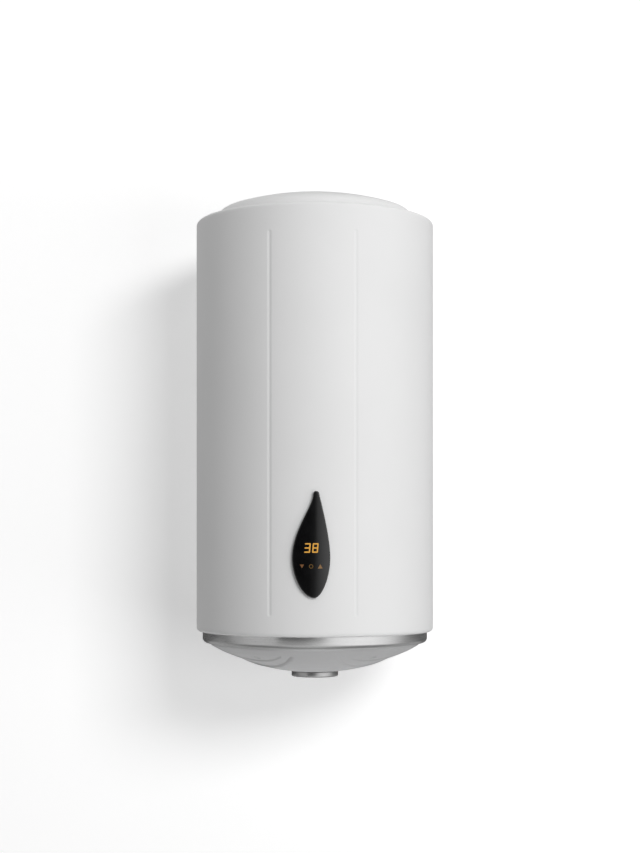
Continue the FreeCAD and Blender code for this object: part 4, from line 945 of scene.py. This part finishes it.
class HEATER_OT_lens(bpy.types.Operator):
    """Makes the black teardrop lens, rounded along its outline and bent round the jacket"""
    bl_idname = "heater.lens"
    bl_label = "Panel lens"

    def execute(self, context):
        sizes = context.scene.heater_panel
        bm = bmesh.new()
        back = JACKET_R + sizes.seat
        outline = [bm.verts.new((p.x, -back, p.y)) for p in lens_outline(sizes, steps=20)]
        sheet = bm.faces.new(outline)
        raised = bmesh.ops.extrude_face_region(bm, geom=[sheet])["geom"]
        rise = JACKET_R + sizes.proud - back - sizes.edge
        bmesh.ops.translate(bm, vec=(0, -rise, 0), verts=verts_in(raised))
        front = [g for g in raised if isinstance(g, bmesh.types.BMFace)]
        self.round_edge(bm, front, sizes.edge, steps=7)
        cut_in_strips(bm, STRIP)
        bmesh.ops.recalc_face_normals(bm, faces=bm.faces)
        onto_cylinder(bm)
        new_piece(bm, "lens_front", "root", "black_panel", ["panel_lens"], crease=40.0)
        return {"FINISHED"}

    def round_edge(self, bm, front, edge, steps):
        """Insets the front in rings whose depth follows a quarter circle."""
        for i in range(steps):
            start, end = (math.pi / 2 * k / steps for k in (i, i + 1))
            inset = edge * (math.cos(start) - math.cos(end))
            depth = edge * (math.sin(end) - math.sin(start))
            bmesh.ops.inset_region(bm, faces=front, thickness=inset, use_even_offset=True)
            bmesh.ops.translate(bm, vec=(0, -depth, 0), verts=front[0].verts)


class HEATER_OT_display(bpy.types.Operator):
    """Makes the lit digits and the three touch marks on the lens"""
    bl_idname = "heater.display"
    bl_label = "Display"

    # Rows from the top, with X where a cell between the strokes' edges is lit
    DIGITS = {"3": ("XXX", "  X", "XXX", "  X", "XXX"), "8": ("XXX", "X X", "XXX", "X X", "XXX")}

    def execute(self, context):
        sizes = context.scene.heater_panel
        bm = bmesh.new()
        for i, digit in enumerate("38"):
            self.draw_digit(bm, digit, (i - 0.5) * sizes.digit_pitch, sizes)
        self.finish(bm, sizes)
        new_piece(bm, "lit_digits", "root", "light_amber")
        bm = bmesh.new()
        self.draw_marks(bm, sizes)
        self.finish(bm, sizes)
        new_piece(bm, "touch_marks", "root", "dim_amber")
        return {"FINISHED"}

    def draw_digit(self, bm, digit, offset, sizes):
        """A digit as one flat shape: a grid of cells whose dark ones are taken away."""
        half_w, half_h, stroke = sizes.digit_w / 2, sizes.digit_h / 2, sizes.digit_stroke
        columns = (-half_w, stroke - half_w, half_w - stroke, half_w)
        rows = (-half_h, stroke - half_h, -stroke / 2, stroke / 2, half_h - stroke, half_h)
        grid = bmesh.ops.create_grid(bm, x_segments=3, y_segments=5, size=1.0)["verts"]
        dark = []
        # The grid runs from -1 to 1, three cells across and five up
        for face in {f for v in grid for f in v.link_faces}:
            middle = face.calc_center_median()
            row = self.DIGITS[digit][4 - int((middle.y + 1) * 2.5)]
            if row[int((middle.x + 1) * 1.5)] == " ":
                dark.append(face)
        for vert in grid:
            x, z = columns[round((vert.co.x + 1) * 1.5)], rows[round((vert.co.y + 1) * 2.5)]
            vert.co = (x + z * math.tan(sizes.digit_slant) + offset + sizes.digits_x, 0,
                       z + sizes.digits_z + JACKET_LOW)
        bmesh.ops.delete(bm, geom=dark, context="FACES")
        corners = [v for v in grid if v.is_valid and len(v.link_faces) == 1]
        round_off(bm, corners, sizes.digit_round, 4, "VERTICES")

    def draw_marks(self, bm, sizes):
        """A triangle down, a ring and a triangle up, with rounded corners."""
        z = sizes.marks_z + JACKET_LOW
        for side, width in ((-1, sizes.down_mark), (1, sizes.up_mark)):
            # From a triangle's centre to its corners. A shift by a quarter centres its height
            reach = width / math.sqrt(3)
            middle = (sizes.marks_x + side * sizes.marks_pitch, 0, z - side * reach / 4)
            fit = Matrix.Translation(middle) @ Matrix.Diagonal((1, 1, side, 1)) @ UPRIGHT
            made = bmesh.ops.create_circle(bm, cap_ends=True, segments=3, radius=reach, matrix=fit)
            round_off(bm, made["verts"], reach / 6, 3, "VERTICES")
        fit = Matrix.Translation((sizes.marks_x, 0, z)) @ UPRIGHT
        made = bmesh.ops.create_circle(bm, cap_ends=True, segments=40, radius=sizes.ring_mark,
                                       matrix=fit)
        disc = list({f for v in made["verts"] for f in v.link_faces})
        bmesh.ops.inset_region(bm, faces=disc, thickness=sizes.ring_stroke, use_boundary=True)
        bmesh.ops.delete(bm, geom=disc, context="FACES")

    def finish(self, bm, sizes):
        """Gives the flat shapes their thickness and bends them round the lens."""
        bmesh.ops.recalc_face_normals(bm, faces=bm.faces)
        made = bmesh.ops.extrude_face_region(bm, geom=bm.faces[:])["geom"]
        for vert in bm.verts:
            vert.co.y = -(JACKET_R + sizes.proud + sizes.lit_rise)
        bmesh.ops.translate(bm, vec=(0, -sizes.lit_sheet, 0), verts=verts_in(made))
        cut_in_strips(bm, STRIP)
        bmesh.ops.recalc_face_normals(bm, faces=bm.faces)
        onto_cylinder(bm)


class HEATER_OT_screws(bpy.types.Operator):
    """Makes the four cover screws with their cross recess"""
    bl_idname = "heater.screws"
    bl_label = "Cover screws"

    # The flat's edge and the start and middle of the crown, as shares of the head's radius
    FLAT, START, CROWN = 0.45, 0.62, 0.90
    # Their levels: metres for the first two, a share of the head's height for the crown
    FLAT_RISE, START_RISE, CROWN_RISE = 0.0001, 0.0003, 0.4
    # How far the cutters of the cross reach out of the head
    BELOW = 0.001

    def execute(self, context):
        sizes = context.scene.heater_base
        low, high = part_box("cover_screws")
        places = self.places(high.x - sizes.screw_head_r, AXIS.y - low.y - sizes.screw_head_r,
                             high.y - AXIS.y - sizes.screw_head_r)
        bm = bmesh.new()
        for x, y in places:
            self.add_screw(bm, Vector((x, y, 0)), low.z, high.z, sizes)
        piece = new_piece(bm, "screw_set", "root", "zinc_steel", ["cover_screws"])
        long, short = sizes.cross_half, sizes.cross_slot / 2
        for wide, deep in ((long, short), (short, long)):
            cutter = bmesh.new()
            for x, y in places:
                add_box(cutter, Vector((x - wide, y - deep, low.z - self.BELOW)),
                        Vector((x + wide, y + deep, low.z + sizes.screw_head / 2)))
            combine(piece, cutter, "DIFFERENCE")
        return {"FINISHED"}

    def places(self, reach_x, front, rear):
        """Both pairs on one circle: the rear pair stands at 45 degrees and reaches furthest out."""
        radius = math.hypot(reach_x, rear)
        front_x = math.sqrt(radius ** 2 - front ** 2)
        return [(side * x, y) for x, y in ((front_x, AXIS.y - front), (reach_x, AXIS.y + rear))
                for side in (-1, 1)]

    def add_screw(self, bm, centre, foot, top, sizes):
        """One screw with a pan head, turned and then added to the set."""
        head_r, head_top = sizes.screw_head_r, foot + sizes.screw_head
        points = ([(0.0, foot), (head_r * self.FLAT, foot + self.FLAT_RISE)]
                  + arc_through((head_r * self.START, foot + self.START_RISE),
                                (head_r * self.CROWN, foot + sizes.screw_head * self.CROWN_RISE),
                                (head_r, head_top), 6)
                  + [(sizes.screw_shank_r, head_top), (sizes.screw_shank_r, top), (0.0, top)])
        made = spun(points, centre, steps=32)
        mesh = bpy.data.meshes.new("screw")
        made.to_mesh(mesh)
        made.free()
        bm.from_mesh(mesh)
        bpy.data.meshes.remove(mesh)


class HEATER_OT_pipes(bpy.types.Operator):
    """Makes the two stubs with their half-inch thread"""
    bl_idname = "heater.pipes"
    bl_label = "Water pipes"

    # Where the first turn starts, and the shares of a pitch at which each turn's parts end
    START = 0.0002
    RISEN, LEVEL, FALLEN = 0.36, 0.50, 0.93

    def execute(self, context):
        sizes = context.scene.heater_base
        for node in ("cold_pipe", "hot_pipe"):
            low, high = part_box(node)
            centre = Vector(((low.x + high.x) / 2, (low.y + high.y) / 2, 0))
            outer = round((high.x - low.x) / 2, 5)
            bm = spun(self.outline(sizes, outer, low.z, high.z), centre, steps=64)
            new_piece(bm, f"{node}_stub", "root", "zinc_steel", [node])
        return {"FINISHED"}

    def outline(self, sizes, outer, low, high):
        """The stub's profile, with a groove for each turn of the thread."""
        root = outer - sizes.thread_relief - sizes.thread_depth
        crest = outer - sizes.thread_relief - sizes.thread_blunt
        pitch = sizes.thread_pitch
        points = [(sizes.pipe_bore_r, low), (root, low)]
        for i in range(int(sizes.thread_h / pitch)):
            start = low + self.START + i * pitch
            points += [(crest, start + pitch * self.RISEN), (crest, start + pitch * self.LEVEL),
                       (root, start + pitch * self.FALLEN)]
        shoulder = low + sizes.thread_h
        return points + [(outer, shoulder), (outer, high), (sizes.pipe_bore_r, high)]


class HEATER_OT_fittings(bpy.types.Operator):
    """Makes smooth copies of the gland and the collars, and straps and legs with soft edges"""
    bl_idname = "heater.fittings"
    bl_label = "Fittings and brackets"

    ROUND = {"cable_gland": ("gland_body", "dark_plastic"),
             "cold_collar": ("collar_blue", "blue_plastic"),
             "hot_collar": ("collar_red", "red_plastic")}
    PLATES = {"lower_strap": "strap_low", "upper_strap": "strap_high", "bracket_legs": "leg_plates"}
    # Degrees under which faces are one plane and over which an edge is rounded, and its width
    FLAT, SHARP, EDGE = 0.5, 40.0, 0.0005

    def execute(self, context):
        for node, (name, finish) in self.ROUND.items():
            new_piece(node_bmesh(node), name, "root", finish, [node], crease=25.0)
        for node, name in self.PLATES.items():
            bm = node_bmesh(node)
            bmesh.ops.dissolve_limit(bm, angle_limit=math.radians(self.FLAT), verts=bm.verts,
                                     edges=bm.edges)
            sharp = [e for e in bm.edges
                     if e.is_manifold and e.calc_face_angle() > math.radians(self.SHARP)]
            round_off(bm, sharp, self.EDGE, 2, clamp=True)
            new_piece(bm, name, "root", "bracket_paint", [node], crease=35.0)
        return {"FINISHED"}


class HEATER_OT_stage(bpy.types.Operator):
    """Sets the wall, the floor, the soft lights, the world and the camera"""
    bl_idname = "heater.stage"
    bl_label = "Stage"

    # Name, azimuth, elevation, distance, width, height, spread and watts
    LAMPS = (("key", 26.0, 21.0, 6.9, 3.0, 1.7, 180.0, 212.0),
             ("side", 44.0, -12.0, 5.0, 4.6, 2.4, 180.0, 70.0),
             ("top", 20.0, 74.0, 3.0, 1.5, 1.5, 180.0, 10.0),
             ("under", 0.0, -88.0, 1.22, 0.4, 0.3, 44.0, 0.25),
             ("back_left", 232.0, 20.0, 4.0, 2.4, 2.4, 180.0, 50.0),
             ("back_right", 140.0, 20.0, 4.0, 2.4, 2.4, 180.0, 36.0))
    # Light of the room, the camera's extra light on the backdrop, and the backdrop's share in metal
    ROOM, LIFT, REFLECTED = 0.31, 0.24, 0.14
    # Edge of the wall and of the floor, and their middles
    SPAN = 5.0
    WALL, FLOOR = (0, 0.0005, 0.3), (0, -2.5, -1.35)
    # Radius of the tent that reflections show, and of the darker opening that the camera looks by
    TENT_R, OPENING_R = 1.2, 1.15
    # The strongest light of both, and each one's light against the azimuth from front to right
    TENT_MOST = 1.3
    TENT = ((-100, 0.17), (-82, 0.46), (-62, 0.62), (-44, 0.62), (-27, 0.60), (-12, 0.60),
            (4, 0.90), (22, 1.15), (40, 1.29), (58, 1.25), (77, 0.95), (100, 0.33))
    DARK = ((-34, 0.0), (-7, 0.01), (-4, 0.06), (0, 0.14), (3, 0.20), (6, 0.34), (9, 0.55),
            (12, 0.82), (15, 1.14), (24, 1.16))
    # Name, radius, azimuths, levels and light of the tent and of the opening
    BENT = (("tent", TENT_R, (-100, 100), (-2, 2), TENT),
            ("opening", OPENING_R, (-34, 24), (-0.62, 0.20), DARK))
    # Name, edge, middle, whether upright, and light of the cards above, below and on the floor
    FLAT = (("head", 3.0, (0, -0.001, 2.06), True, ((-180, 0.6), (180, 0.6))),
            ("foot", 3.0, (0, -0.001, -2.02), True, ((-180, 0.4), (180, 0.4))),
            ("low", 2.4, (0, -1.2, -1.348), False,
             ((-180, 0.1), (-100, 0.1), (-60, 0.3), (-30, 0.6), (24, 0.6), (54, 0.3), (94, 0.1),
              (180, 0.1))))
    # Steps of a bent sheet
    BEND = 48
    # The camera's place, lens and sensor in millimetres, and shift as a share of the picture
    EYE = Vector((0.0, -3.345, -0.2145))
    LENS = 68.663
    SENSOR = 36.0
    SHIFT = (0.00606, 0.13159)

    def execute(self, context):
        self.camera(context)
        self.backdrop(context.scene.heater_colours)
        self.world(context)
        for name, radius, azimuths, heights, shades in self.BENT:
            card = new_object(name, self.bent_sheet(radius, azimuths, heights))
            self.only_reflected(card, shades, self.TENT_MOST)
        for name, size, middle, upright, shades in self.FLAT:
            self.only_reflected(self.flat_sheet(name, size, middle, upright), shades, 1.0)
        for lamp in self.LAMPS:
            self.lamp(*lamp)
        context.scene.view_settings.view_transform = "Standard"
        return {"FINISHED"}

    def camera(self, context):
        """A level camera whose view is shifted, so that upright lines stay upright."""
        view = bpy.data.cameras.new("camera")
        view.lens = self.LENS
        view.sensor_width = self.SENSOR
        view.shift_x, view.shift_y = self.SHIFT
        camera = bpy.data.objects.new("camera", view)
        camera.location = self.EYE
        camera.rotation_euler = (math.radians(90), 0, 0)
        context.scene.collection.objects.link(camera)
        context.scene.camera = camera

    def backdrop(self, tones):
        """The wall that the heater hangs on and the floor. Both keep its shadow and block no lamp."""
        finish = self.backdrop_paint(tones)
        for plane in (self.flat_sheet("wall", self.SPAN, self.WALL, True),
                      self.flat_sheet("floor", self.SPAN, self.FLOOR, False)):
            plane.data.materials.append(finish)
            plane.visible_diffuse = False
            plane.visible_shadow = False

    def flat_sheet(self, name, size, middle, upright):
        """A square that stands or lies about its middle."""
        bm = bmesh.new()
        fit = Matrix.Translation(middle) @ (UPRIGHT if upright else Matrix.Identity(4))
        bmesh.ops.create_grid(bm, x_segments=2, y_segments=2, size=size / 2, matrix=fit)
        return new_object(name, bm)

    def bent_sheet(self, radius, azimuths, heights):
        """An upright sheet bent round the heater."""
        first, last = (math.radians(a) for a in azimuths)
        bm = bmesh.new()
        foot = bm.verts.new(AXIS + Matrix.Rotation(first, 3, "Z") @ (FRONT * radius))
        foot.co.z = heights[0]
        top = bmesh.ops.extrude_vert_indiv(bm, verts=[foot])
        bmesh.ops.translate(bm, vec=(0, 0, heights[1] - heights[0]), verts=top["verts"])
        bmesh.ops.spin(bm, geom=[foot] + top["verts"] + top["edges"], cent=AXIS, axis=(0, 0, 1),
                       angle=last - first, steps=self.BEND)
        return bm

    def backdrop_paint(self, tones):
        """Pale paint for the camera, duller in reflections, clear from behind."""
        material = bpy.data.materials.new("backdrop")
        nodes = Nodes(material)
        share = nodes.seen(self.REFLECTED)
        paint = nodes.node("BsdfDiffuse", Color=(*tones.backdrop, 1))
        glow = nodes.node("Emission")
        nodes.join(nodes.reckon("MULTIPLY", share, self.LIFT), glow.inputs["Strength"])
        both = nodes.node("AddShader")
        nodes.join(nodes.mix(share, None, paint.outputs[0]), both.inputs[0])
        nodes.join(glow.outputs[0], both.inputs[1])
        behind = nodes.node("NewGeometry").outputs["Backfacing"]
        face = nodes.mix(behind, both.outputs[0], nodes.node("BsdfTransparent").outputs[0])
        nodes.join(face, nodes.node("OutputMaterial").inputs["Surface"])
        return material

    def only_reflected(self, card, shades, most):
        """Lights a card by its azimuth, and lets reflections alone see it."""
        card.data.materials.append(self.card_light(card.name, shades, most))
        card.visible_camera = False
        card.visible_diffuse = False
        card.visible_transmission = False
        card.visible_shadow = False

    def card_light(self, name, shades, most):
        """Light that changes with the azimuth from the front to the right."""
        material = bpy.data.materials.new(name)
        nodes = Nodes(material)
        material.cycles.emission_sampling = "NONE"
        turned = nodes.node("Mapping", Location=(AXIS.y, 0, 0), Rotation=(0, 0, math.radians(90)))
        nodes.join(nodes.node("TexCoord").outputs["Object"], turned.inputs["Vector"])
        sweep = nodes.node("TexGradient")
        sweep.gradient_type = "RADIAL"
        nodes.join(turned.outputs["Vector"], sweep.inputs["Vector"])
        stops = [(0.5 + azimuth / 360, [light / most] * 3) for azimuth, light in shades]
        glow = nodes.node("Emission", Strength=most)
        nodes.join(nodes.ramp(sweep.outputs["Fac"], stops).outputs["Color"], glow.inputs["Color"])
        nodes.join(glow.outputs[0], nodes.node("OutputMaterial").inputs["Surface"])
        return material

    def world(self, context):
        """White to the camera, in metal and in glass, and a soft grey as light."""
        world = bpy.data.worlds.new("room")
        context.scene.world = world
        nodes = Nodes(world)
        room, white = (nodes.node("Background", Color=(1, 1, 1, 1), Strength=level).outputs[0]
                       for level in (self.ROOM, 1.0))
        nodes.join(nodes.mix(nodes.seen(1.0), room, white),
                   nodes.node("OutputWorld").inputs["Surface"])

    def lamp(self, name, azimuth, elevation, distance, width, height, spread, watts):
        """A soft box that looks at the heater, with its azimuth from the front to the right."""
        light = bpy.data.lights.new(name, "AREA")
        light.shape = "RECTANGLE"
        light.size = width
        light.size_y = height
        light.spread = math.radians(spread)
        light.energy = watts
        lamp = bpy.data.objects.new(name, light)
        a, e = math.radians(azimuth), math.radians(elevation)
        towards = Vector((math.sin(a) * math.cos(e), -math.cos(a) * math.cos(e), math.sin(e)))
        lamp.location = AXIS + towards * distance
        lamp.visible_glossy = False
        lamp.rotation_mode = "QUATERNION"
        lamp.rotation_quaternion = towards.to_track_quat("Z", "Y")
        bpy.context.scene.collection.objects.link(lamp)


class HEATER_PT_panel(bpy.types.Panel):
    """The heater's pieces and values in the sidebar"""
    bl_idname = "HEATER_PT_panel"
    bl_label = "Storage water heater"
    bl_space_type = "VIEW_3D"
    bl_region_type = "UI"
    bl_category = "Heater"

    def draw(self, context):
        """Lists the operators and every value."""
        layout = self.layout
        for operator in OPERATORS:
            layout.operator(operator.bl_idname)
        for name in GROUPS:
            group = getattr(context.scene, name)
            box = layout.box()
            for key in group.__annotations__:
                box.prop(group, key)


OPERATORS = (HEATER_OT_materials, HEATER_OT_stage, HEATER_OT_jacket, HEATER_OT_cap, HEATER_OT_ring,
             HEATER_OT_cover, HEATER_OT_knob, HEATER_OT_lens, HEATER_OT_display, HEATER_OT_screws,
             HEATER_OT_pipes, HEATER_OT_fittings)
GROUPS = {"heater_shell": HeaterShell, "heater_base": HeaterBase, "heater_panel": HeaterPanel,
          "heater_colours": HeaterColours}


def register():
    """Registers the values, the operators and the panel."""
    for group in GROUPS.values():
        bpy.utils.register_class(group)
    for name, group in GROUPS.items():
        setattr(bpy.types.Scene, name, bpy.props.PointerProperty(type=group))
    for operator in OPERATORS:
        bpy.utils.register_class(operator)
    bpy.utils.register_class(HEATER_PT_panel)


def unregister():
    """Takes them all back, in the other order."""
    bpy.utils.unregister_class(HEATER_PT_panel)
    for operator in reversed(OPERATORS):
        bpy.utils.unregister_class(operator)
    for name, group in GROUPS.items():
        delattr(bpy.types.Scene, name)
        bpy.utils.unregister_class(group)


def main():
    """Makes the whole heater and its stage."""
    register()
    for operator in OPERATORS:
        getattr(bpy.ops.heater, operator.bl_idname.split(".")[1])()


if __name__ == "__main__":
    main()
